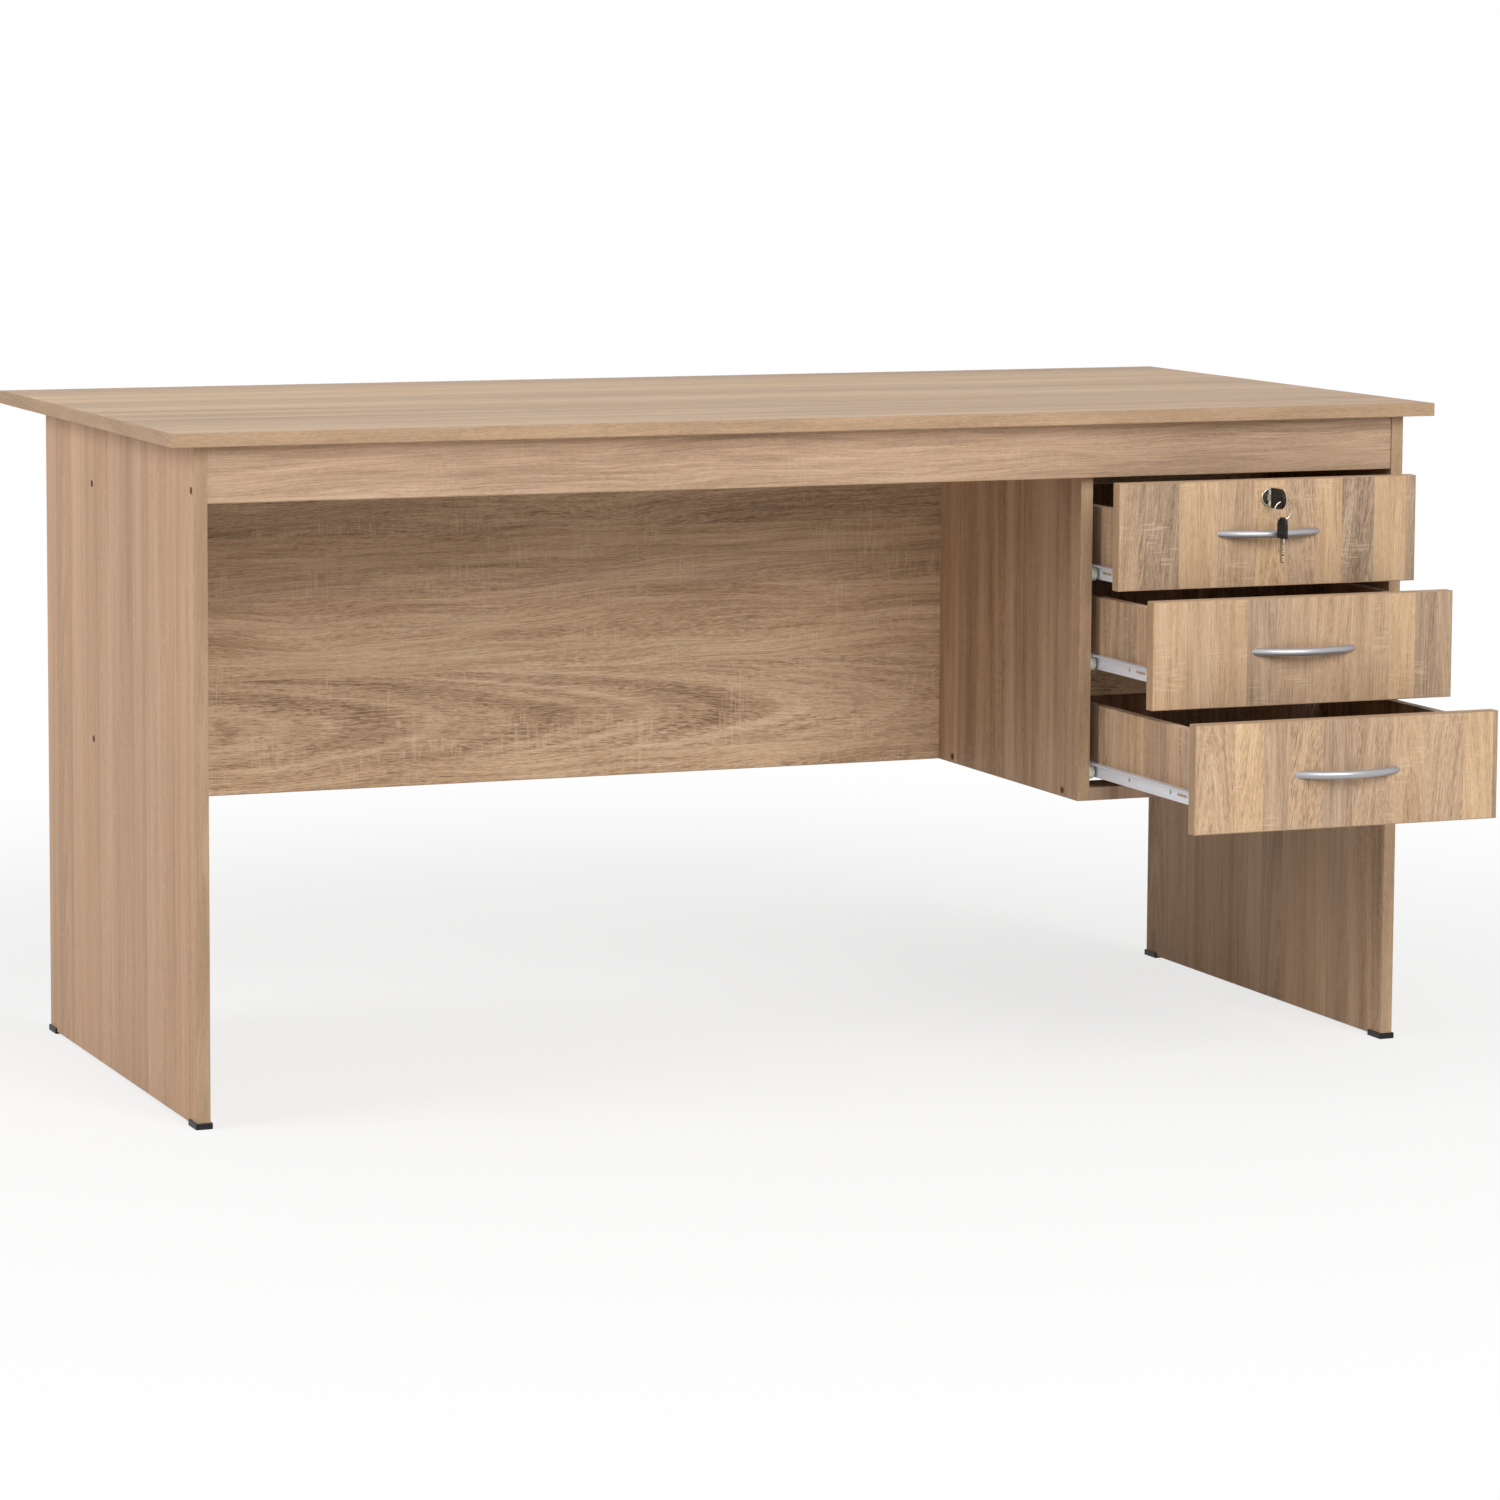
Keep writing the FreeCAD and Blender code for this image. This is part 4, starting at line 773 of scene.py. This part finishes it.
class DESK_OT_runners(DeskOperator):
    """Fold the sheet steel runners and rivet their axles"""

    bl_idname = "desk.runners"
    bl_label = "Runners"
    # Where the holes and slots lie along a drawer runner, as shares of its length.
    hole_shares = (0.223, 0.513, 0.78)
    slot_shares = (0.143, 0.88)
    # Radius of a slot's ends, as a share of a hole's radius.
    slot_end = 0.6

    def execute(self, context):
        sizes = context.scene.desk_runners
        for drawer in DRAWERS:
            for kind, body, fold in (("cabinet", "desk", self.channel), ("drawer", f"{drawer}_drawer", self.runner)):
                node = f"{drawer}_{kind}_runners"
                start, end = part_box(f"{drawer}_{kind}_rollers")
                axle = (start + end) / 2
                bm = bmesh.new()
                for low, high, _ in solids(node):
                    fold(bm, 1 if low.x < axle.x else -1, low, high, axle, sizes)
                make(bm, node, body, [finish("powder_coat"), finish("zinc_plate")])
        return {"FINISHED"}

    def axle(self, bm, face, way, axle, sizes):
        """A riveted axle with a domed head."""
        out, head, reach = (value / MM for value in (sizes.axle_radius, sizes.head_radius, sizes.axle_reach))
        spot = Vector((face, axle.y, axle.z))
        profile = ((0, 0), (out, 0), (out, reach), (head - 0.3, reach), (head, reach + 0.25),
                   (head - 0.6, reach + 0.75), (head * 0.5, reach + 1), (0, reach + 1))
        for new in turned(bm, spot, X * way, profile, 28):
            new.material_index = 1
            new.smooth = True

    def channel(self, bm, way, low, high, axle, sizes):
        """A fixed channel: a web on the wall, and a track and a roof that point one way."""
        before = set(bm.faces)
        wall = low.x if way > 0 else high.x
        face = wall + way * sizes.sheet
        front, track, roof = low.y + sizes.bay, low.z + sizes.sheet, high.z - sizes.sheet
        ends = sorted((wall, face))
        block(bm, Vector((ends[0], low.y, low.z)), Vector((ends[1], high.y, high.z)))
        folds = [new for new, middle in facing(score(bm, before, ((Y, front), (Z, track), (Z, roof))), X * way)
                 if middle.y > front and not track < middle.z < roof]
        pull(bm, folds, X * way * sizes.flange)
        soften(bm, corners_of(made_since(bm, before)), sizes.fold)
        self.axle(bm, face, way, axle, sizes)

    def runner(self, bm, inward, low, high, axle, sizes):
        """A drawer runner: a pierced web, a flange outwards and a lip inwards under the drawer side."""
        before = set(bm.faces)
        way = -inward
        side = high.x - sizes.lip if inward > 0 else low.x + sizes.lip
        face = side + way * sizes.sheet
        rear, under, over = high.y - sizes.bay, low.z + sizes.sheet, high.z - sizes.sheet
        corners = ((low.y, under), (high.y, under), (high.y, over), (rear, over), (low.y, over))
        loops = loop(bm, [Vector((side, *corner)) for corner in corners])
        brims = [loops[0], *loops[2:4]]
        middle = (low.z + high.z) / 2
        stretch = Y * (sizes.slot / 2 - sizes.hole)
        for shares, radius, apart in ((self.hole_shares, sizes.hole, None),
                                      (self.slot_shares, sizes.hole * self.slot_end, stretch)):
            for share in shares:
                spot = Vector((side, low.y + (high.y - low.y) * share, middle))
                loops += round_loop(bm, spot, X, radius, stretch=apart)
        bmesh.ops.triangle_fill(bm, edges=loops, use_beauty=True, normal=X * way)
        for edges, step in ((brims[:1], -sizes.sheet), (brims[1:], sizes.sheet)):
            raised = bmesh.ops.extrude_edge_only(bm, edges=edges)["geom"]
            bmesh.ops.translate(bm, vec=Z * step, verts=only(raised, BMVert))
        thicken(bm, made_since(bm, before), X * way * sizes.sheet)
        faces = made_since(bm, before)
        bmesh.ops.recalc_face_normals(bm, faces=faces)
        flange = [new for new, middle in facing(faces, X * way) if middle.z > over and middle.y < rear]
        lip = [new for new, middle in facing(faces, X * inward) if middle.z < under]
        pull(bm, flange, X * way * sizes.flange)
        pull(bm, lip, X * inward * sizes.lip)
        folds = [edge for edge in corners_of(made_since(bm, before)) if edge.is_convex
                 and abs((edge.verts[0].co - edge.verts[1].co).y) > sizes.bay]
        soften(bm, folds, sizes.fold)
        self.axle(bm, face, way, axle, sizes)


class DESK_OT_rollers(DeskOperator):
    """Turn the nylon rollers"""

    bl_idname = "desk.rollers"
    bl_label = "Rollers"
    # Room round the axle, and how deep the sides are sunk between hub and rim, in millimetres.
    play, sunk = 0.05, 1.1

    def execute(self, context):
        bore = context.scene.desk_runners.axle_radius / MM + self.play
        for drawer in DRAWERS:
            for kind in ("cabinet", "drawer"):
                node = f"{drawer}_{kind}_rollers"
                bm = bmesh.new()
                for low, high, _ in solids(node):
                    half = (high.x - low.x) / 2 / MM
                    out = (high.z - low.z) / 2 / MM
                    web = half - self.sunk
                    near = ((bore, -web), (bore + 1.2, -web), (bore + 1.5, -half + 0.3), (bore + 2.1, -half + 0.3),
                            (bore + 2.5, -web), (out - 2.2, -web), (out - 1.8, -half), (out - 0.7, -half),
                            (out - 0.2, -half + 0.3), (out, -half + 0.9))
                    far = tuple((radius, -along) for radius, along in reversed(near))
                    turned(bm, (low + high) / 2, X, near + far, 48, True)
                make(bm, node, node, [finish("moulded_nylon")], True)
        return {"FINISHED"}


class DESK_OT_lock(DeskOperator):
    """Build the drawer lock"""

    bl_idname = "desk.lock"
    bl_label = "Lock"
    # Rounding along the bolt.
    bolt_edge = 0.5 * MM

    def execute(self, context):
        sizes = context.scene.desk_hardware
        low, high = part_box("lock_rosette")
        spot = Vector(((low.x + high.x) / 2, high.y, (low.z + high.z) / 2))
        metal = [finish("nickel_plate")]
        barrel = sizes.barrel / MM
        plug = sizes.plug / MM
        out = (high.x - low.x) / 2 / MM
        bm = bmesh.new()
        turned(bm, spot, -Y, ((barrel + 0.05, 0), (barrel + 0.05, 1.4), (barrel + 0.4, 2.1), (barrel + 0.9, 2.4),
                              (out - 0.7, 2.2), (out - 0.2, 1.6), (out, 0.8), (out, 0)), 56, True)
        make(bm, "lock_rosette", "top_drawer", metal, True)
        bm = bmesh.new()
        case_low, case_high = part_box("lock_case")
        case_low.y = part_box("top_drawer_front")[1].y
        deep = (spot.y - case_low.y) / MM
        turned(bm, spot, -Y, ((plug + 0.05, deep), (plug + 0.05, 0.6), (plug + 0.5, 1), (barrel - 0.4, 1),
                              (barrel, 0.6), (barrel, deep)), 48, True)
        self.case(bm, case_low, case_high, sizes)
        make(bm, "lock_case", "top_drawer", metal, True)
        bm = bmesh.new()
        face = Vector((spot.x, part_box("lock_plug")[0].y, spot.z))
        half_x, half_z = X * sizes.keyway_width / 2, Z * sizes.keyway_height / 2
        keyway = (face - half_x - half_z, face + half_x - half_z, face + half_x + half_z, face - half_x + half_z)
        loops = round_loop(bm, face, Y, sizes.plug, 48) + loop(bm, keyway)
        plate(bm, loops, Y * (case_low.y - face.y))
        make(bm, "lock_plug", "lock_core", metal, True)
        bm = bmesh.new()
        slab(bm, *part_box("lock_bolt"), self.bolt_edge)
        make(bm, "lock_bolt", "lock_bolt", [finish("zinc_plate")])
        return {"FINISHED"}

    def case(self, bm, low, high, sizes):
        """A case with a well in its top that the bolt rises from."""
        before = set(bm.faces)
        slab(bm, low, high, sizes.case_edge, 3)
        bolt_low, bolt_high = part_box("lock_bolt")
        play = Vector((sizes.bolt_play, sizes.bolt_play, 0))
        start, end = bolt_low - play, bolt_high + play
        faces = score(bm, before, ((X, start.x), (X, end.x), (Y, start.y), (Y, end.y)))
        mouth = [face for face, middle in facing(faces, Z)
                 if start.x < middle.x < end.x and start.y < middle.y < end.y]
        pull(bm, mouth, Z * (low.z + sizes.case_wall - high.z))


class DESK_OT_keys(DeskOperator):
    """Cut the keys, mould their bows and bend their ring"""

    bl_idname = "desk.keys"
    bl_label = "Keys"
    # Depths of the cuts along a blade, and of the ridges between them, in millimetres.
    cuts = (0.8, 1.9, 1.2, 2.3, 0.9, 1.7)
    ridge = 0.4 * MM
    # Where a blade's shoulder ends, where its cuts start and how far they go on, as shares of its length.
    shoulder, first_cut, cut_run = 0.33, 0.36, 0.55
    # Half the flat of a cut, as a share of the distance between two cuts.
    half_flat = 0.15
    # Widths and depths, in millimetres, of the steps from a bow's edge over its raised rim to its sunk middle.
    rim = ((0.5, 0), (1.1, 0), (0.4, -0.45))

    def execute(self, context):
        sizes = context.scene.desk_hardware
        self.bow("key_bow", "lock_core", 1, -1, sizes.ring_hole_inset, sizes.ring_hole)
        self.bow("spare_key_bow", "spare_key", 2, 1, sizes.spare_hole_inset, sizes.ring_hole)
        self.blade("key_blade", "lock_core", 1, 1, 2)
        self.blade("spare_key_blade", "spare_key", 2, -1, 1)
        low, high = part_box("key_ring")
        centre = (low + high) / 2
        bm = bmesh.new()
        radius = (high.x - low.x) / 2 - sizes.ring_wire
        edges = round_loop(bm, centre + X * radius, Z, sizes.ring_wire, 12)
        bmesh.ops.spin(bm, geom=verts_of(edges) + edges, cent=centre, axis=Y, angle=FULL_TURN, steps=64,
                       use_merge=True)
        bmesh.ops.remove_doubles(bm, verts=bm.verts, dist=MERGE)
        make(bm, "key_ring", "key_ring", [finish("nickel_plate")], True)
        return {"FINISHED"}

    def bow(self, node, body, axis, way, inset, hole):
        """A moulded bow, round at one end and square at the other, with a raised rim and a hole for the ring."""
        low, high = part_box(node)
        across = 3 - axis
        radius = (high[across] - low[across]) / 2
        middle = (low + high) / 2
        end = high[axis] if way > 0 else low[axis]
        centre = middle.copy()
        centre.x = low.x
        centre[axis] = end - way * radius
        square = (high[axis] - low[axis]) - radius
        bm = bmesh.new()
        outer = round_loop(bm, centre, X, radius, 56)
        for vert in verts_of(outer):
            step = vert.co - centre
            back = -step[axis] * way
            side = abs(step[across])
            if back > MERGE:
                vert.co = centre + step * min(square / back, radius / side if side > MERGE else square / back)
        eye = centre.copy()
        eye[axis] = end - way * inset
        loops = outer + round_loop(bm, eye, X, hole, 24)
        faces, tops = plate(bm, loops, X * (high.x - low.x))
        for side in (faces, tops):
            for width, depth in self.rim:
                bmesh.ops.inset_region(bm, faces=side, thickness=width * MM, depth=depth * MM, use_even_offset=True,
                                       use_boundary=True)
        make(bm, node, body, [finish("moulded_black_plastic")], True)

    def blade(self, node, body, axis, way, across):
        """A flat blade with cuts along one edge and a nosed tip."""
        low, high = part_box(node)
        long = high[axis] - low[axis]
        wide = high[across] - low[across]
        start = low.copy() if way > 0 else Vector((low.x, low.y, high.z))
        bite = self.cut_run * long / len(self.cuts)
        flat = self.half_flat * bite
        outline = [(0, 0), (self.shoulder * long, 0)]
        for index, cut in enumerate(self.cuts):
            spot = self.first_cut * long + bite * (index + 0.5)
            outline += [(spot - flat, cut * MM), (spot + flat, cut * MM), (spot + 0.5 * bite, self.ridge)]
        outline += [(long - 1.5 * MM, self.ridge), (long, 2.2 * MM), (long, wide - 1.6 * MM),
                    (long - 1.8 * MM, wide), (0, wide)]
        corners = []
        for along, aside in outline:
            corner = start.copy()
            corner[axis] += way * along
            corner[across] = low[across] + aside
            corners.append(corner)
        bm = bmesh.new()
        plate(bm, loop(bm, corners), X * (high.x - low.x))
        make(bm, node, body, [finish("nickel_plate")])


class DESK_OT_fasteners(DeskOperator):
    """Make the screws, caps and brackets, and give the dowels their finish"""

    bl_idname = "desk.fasteners"
    bl_label = "Fasteners"
    # How far from an end of a screw its points are still at that end, and the least that a head is wider than its
    # shank, in millimetres. What is less is a peg.
    end_play, head_step = 0.05, 0.2
    # Reach of a cross recess's hub and spokes, as shares of the head's radius, and how wide a spoke may be at a place,
    # as a share of how far out that is.
    hub, spokes, spoke_width = 0.18, 0.55, 0.25
    # How far a recess narrows and how deep it is.
    recess_taper, recess_depth = 0.04 * MM, 0.6 * MM
    # Thickness of a bracket, and the rounding along it.
    bracket_sheet, bracket_edge = 2 * MM, 0.5 * MM

    def execute(self, context):
        self.screws("panel_screws", "desk")
        for drawer in DRAWERS:
            self.screws(f"{drawer}_drawer_fasteners", f"{drawer}_drawer")
        bm = bmesh.new()
        for low, high, _ in solids("screw_caps"):
            middle = (low + high) / 2
            out = (high.z - low.z) / 2 / MM
            way = -1 if middle.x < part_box("pedestal_side_panel")[1].x else 1
            face = Vector((high.x if way < 0 else low.x, middle.y, middle.z))
            turned(bm, face, X * way, ((0, 0), (out, 0), (out, 0.25), (out - 0.5, 0.55), (out * 0.5, 0.6),
                                       (out * 0.42, 0.35), (0, 0.35)), 32)
        make(bm, "screw_caps", "desk", [finish("moulded_brown_plastic")], True)
        self.brackets()
        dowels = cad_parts["dowels"].data.materials
        dowels.clear()
        dowels.append(finish("beech"))
        return {"FINISHED"}

    def screws(self, node, body):
        """Countersunk screws with a cross recess, and plain pegs where both ends are alike."""
        bm = bmesh.new()
        for low, high, points in solids(node):
            axis = max(range(3), key=lambda index: high[index] - low[index])
            middle = (low + high) / 2
            reach = {}
            for way, end in ((-1, low[axis]), (1, high[axis])):
                far = [point for point in points if abs(point[axis] - end) < self.end_play * MM]
                spread = [point - middle for point in far]
                reach[way] = max(math.hypot(*[step[a] for a in range(3) if a != axis]) for step in spread) / MM
            way = 1 if reach[1] > reach[-1] else -1
            head, shank = reach[way], reach[-way]
            long = (high[axis] - low[axis]) / MM
            face = middle.copy()
            face[axis] = high[axis] if way > 0 else low[axis]
            out = AXES[axis] * way
            if head - shank < self.head_step:
                turned(bm, face, out, ((0, 0), (head - 0.5, 0), (head, -0.5), (head, 0.5 - long), (head - 0.5, -long),
                                       (0, -long)), 16)
                continue
            profile = ((0, 0.22), (0.2 * head, 0.22), (0.62 * head, 0.18), (0.92 * head, 0.05), (head, -0.1),
                       (shank, -(head - shank) - 0.3), (shank, 1.5 - long), (0, -long))
            faces = turned(bm, face, out, profile, 16)
            recess = []
            for new in faces:
                step = new.calc_center_median() - face
                aside = step - out * step.dot(out)
                short, far_out = sorted(abs(aside[a]) for a in range(3) if a != axis)
                off = aside.length / MM / head
                in_spoke = off < self.spokes and short < self.spoke_width * far_out
                if step.dot(out) > 0 and (off < self.hub or in_spoke):
                    recess.append(new)
            if recess:
                bmesh.ops.inset_region(bm, faces=recess, thickness=self.recess_taper, depth=-self.recess_depth,
                                       use_even_offset=True)
        make(bm, node, body, [finish("zinc_plate")])

    def brackets(self):
        """Steel angles under the worktop."""
        bm = bmesh.new()
        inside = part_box("right_end_panel")[0].x
        sheet = self.bracket_sheet
        for low, high, _ in solids("corner_brackets"):
            before = set(bm.faces)
            block(bm, Vector((low.x, low.y, high.z - sheet)), high)
            if abs(low.x + inside) < sheet:
                axis, spot, way = X, low.x + sheet, -1
            elif abs(high.x - inside) < sheet:
                axis, spot, way = X, high.x - sheet, 1
            else:
                axis, spot, way = Y, low.y + sheet, -1
            legs = [face for face, middle in facing(score(bm, before, ((axis, spot),)), -Z)
                    if (middle.dot(axis) - spot) * way > 0]
            pull(bm, legs, Z * (low.z - high.z + sheet))
            soften(bm, corners_of(made_since(bm, before)), self.bracket_edge)
        make(bm, "corner_brackets", "desk", [finish("zinc_plate")])


class DESK_OT_stage(DeskOperator):
    """Set the floor, lamps and camera"""

    bl_idname = "desk.stage"
    bl_label = "Stage"
    # Place, aim and width of each lamp, in metres.
    lamps = {
        "front": ((0.7, -5.6, 3.6), (0.1, -0.3, 0.5), 3.8),
        "side": ((-5.0, -0.5, 3.1), (-0.6, -0.1, 0.4), 3.0),
        "top": ((0.2, -0.3, 4.2), (0.1, 0, 0.7), 3.0),
    }
    # Radius of the floor, and the distances from its middle between which it fades to white, with the share of white at
    # each.
    floor_radius = 30
    fade = {1: 0.6, 2: 2.4, 3: 0.74, 4: 1.0}
    # Width of the camera's sensor in millimetres, and how far the camera sees in metres.
    sensor, sight = 36, 100

    def execute(self, context):
        values = context.scene.desk_stage
        scene = context.scene
        scene.view_settings.view_transform = "Standard"
        self.floor(values)
        self.sky(scene, values)
        for name, (place, aim, size) in self.lamps.items():
            self.lamp(f"{name}_lamp", place, aim, size, getattr(values, name))
        data = bpy.data.cameras.new("photo_camera")
        data.lens = values.lens
        data.sensor_width = self.sensor
        data.shift_x, data.shift_y = values.shift
        data.clip_end = self.sight
        camera = bpy.data.objects.new("photo_camera", data)
        camera.location = values.camera_place
        camera.rotation_euler = values.camera_turn
        scene.collection.objects.link(camera)
        scene.camera = camera
        return {"FINISHED"}

    def lamp(self, name, place, aim, size, power):
        """A square softbox turned to a point."""
        data = bpy.data.lights.new(name, "AREA")
        data.size = size
        data.energy = power
        lamp = bpy.data.objects.new(name, data)
        lamp.location = place
        lamp.rotation_euler = (Vector(aim) - Vector(place)).to_track_quat("-Z", "Y").to_euler()
        bpy.context.scene.collection.objects.link(lamp)

    def seen(self, tree):
        """1 for what the camera, a mirror or glass sees, and 0 for light on its way."""
        path = add(tree, "LightPath")
        mirrored = add(tree, "Math", {0: path["Is Glossy Ray"], 1: path["Is Transmission Ray"]}, operation="MAXIMUM")
        return add(tree, "Math", {0: path["Is Camera Ray"], 1: mirrored[0]}, operation="MAXIMUM")[0]

    def sky(self, scene, values):
        """An even soft light that is white where it is seen."""
        world = scene.world or bpy.data.worlds.new("sky")
        scene.world = world
        world.use_nodes = True
        tree = world.node_tree
        tree.nodes.clear()
        light = add(tree, "Background", {"Color": linear("FFFFFF"), "Strength": values.sky})
        white = add(tree, "Background", {"Color": linear("FFFFFF"), "Strength": 1.0})
        mixed = add(tree, "MixShader", {0: self.seen(tree), 1: light[0], 2: white[0]})
        add(tree, "OutputWorld", {"Surface": mixed[0]})

    def floor(self, values):
        """A pale matt floor that keeps a soft shadow and fades into the white behind it."""
        bm = bmesh.new()
        bmesh.ops.create_circle(bm, cap_ends=True, segments=96, radius=self.floor_radius)
        mesh = bpy.data.meshes.new("studio_floor")
        bm.to_mesh(mesh)
        bm.free()
        floor = bpy.data.objects.new("studio_floor", mesh)
        bpy.context.scene.collection.objects.link(floor)
        material = bpy.data.materials.new("studio_paint")
        material.use_nodes = True
        tree = material.node_tree
        tree.nodes.clear()
        place = add(tree, "TexCoord")["Object"]
        far = add(tree, "VectorMath", {0: place}, operation="LENGTH")
        fade = add(tree, "MapRange", {"Value": far["Value"], **self.fade}, interpolation_type="SMOOTHSTEP")
        share = add(tree, "Math", {0: self.seen(tree), 1: fade[0]}, operation="MULTIPLY")
        matt = add(tree, "BsdfDiffuse", {"Color": values.floor})
        white = add(tree, "Emission", {"Color": linear("FFFFFF"), "Strength": 1.0})
        mixed = add(tree, "MixShader", {0: share[0], 1: matt[0], 2: white[0]})
        add(tree, "OutputMaterial", {"Surface": mixed[0]})
        mesh.materials.append(material)


BUILDERS = (DESK_OT_fixed_boards, DESK_OT_edge_strips, DESK_OT_drawer_boards, DESK_OT_feet, DESK_OT_handles,
            DESK_OT_runners, DESK_OT_rollers, DESK_OT_lock, DESK_OT_keys, DESK_OT_fasteners, DESK_OT_stage)
GROUPS = {"desk_boards": DeskBoards, "desk_runners": DeskRunners, "desk_hardware": DeskHardware,
          "desk_finishes": DeskFinishes, "desk_stage": DeskStage}


class DESK_PT_tools(bpy.types.Panel):
    """The desk's operators and settings"""

    bl_idname = "DESK_PT_tools"
    bl_label = "Office desk"
    bl_space_type = "VIEW_3D"
    bl_region_type = "UI"
    bl_category = "Desk"

    def draw(self, context):
        for builder in BUILDERS:
            self.layout.operator(builder.bl_idname)
        for group in GROUPS:
            box = self.layout.box()
            settings = getattr(context.scene, group)
            for name in settings.__annotations__:
                box.prop(settings, name)


def register():
    """Register the settings, operators and panel."""
    for group, kind in GROUPS.items():
        bpy.utils.register_class(kind)
        setattr(bpy.types.Scene, group, PointerProperty(type=kind))
    for kind in (*BUILDERS, DESK_PT_tools):
        bpy.utils.register_class(kind)


def unregister():
    """Remove what register added."""
    for kind in (DESK_PT_tools, *reversed(BUILDERS)):
        bpy.utils.unregister_class(kind)
    for group, kind in GROUPS.items():
        delattr(bpy.types.Scene, group)
        bpy.utils.unregister_class(kind)


def main():
    """Build the desk in order."""
    register()
    for builder in BUILDERS:
        group, name = builder.bl_idname.split(".")
        getattr(getattr(bpy.ops, group), name)()


if __name__ == "__main__":
    main()
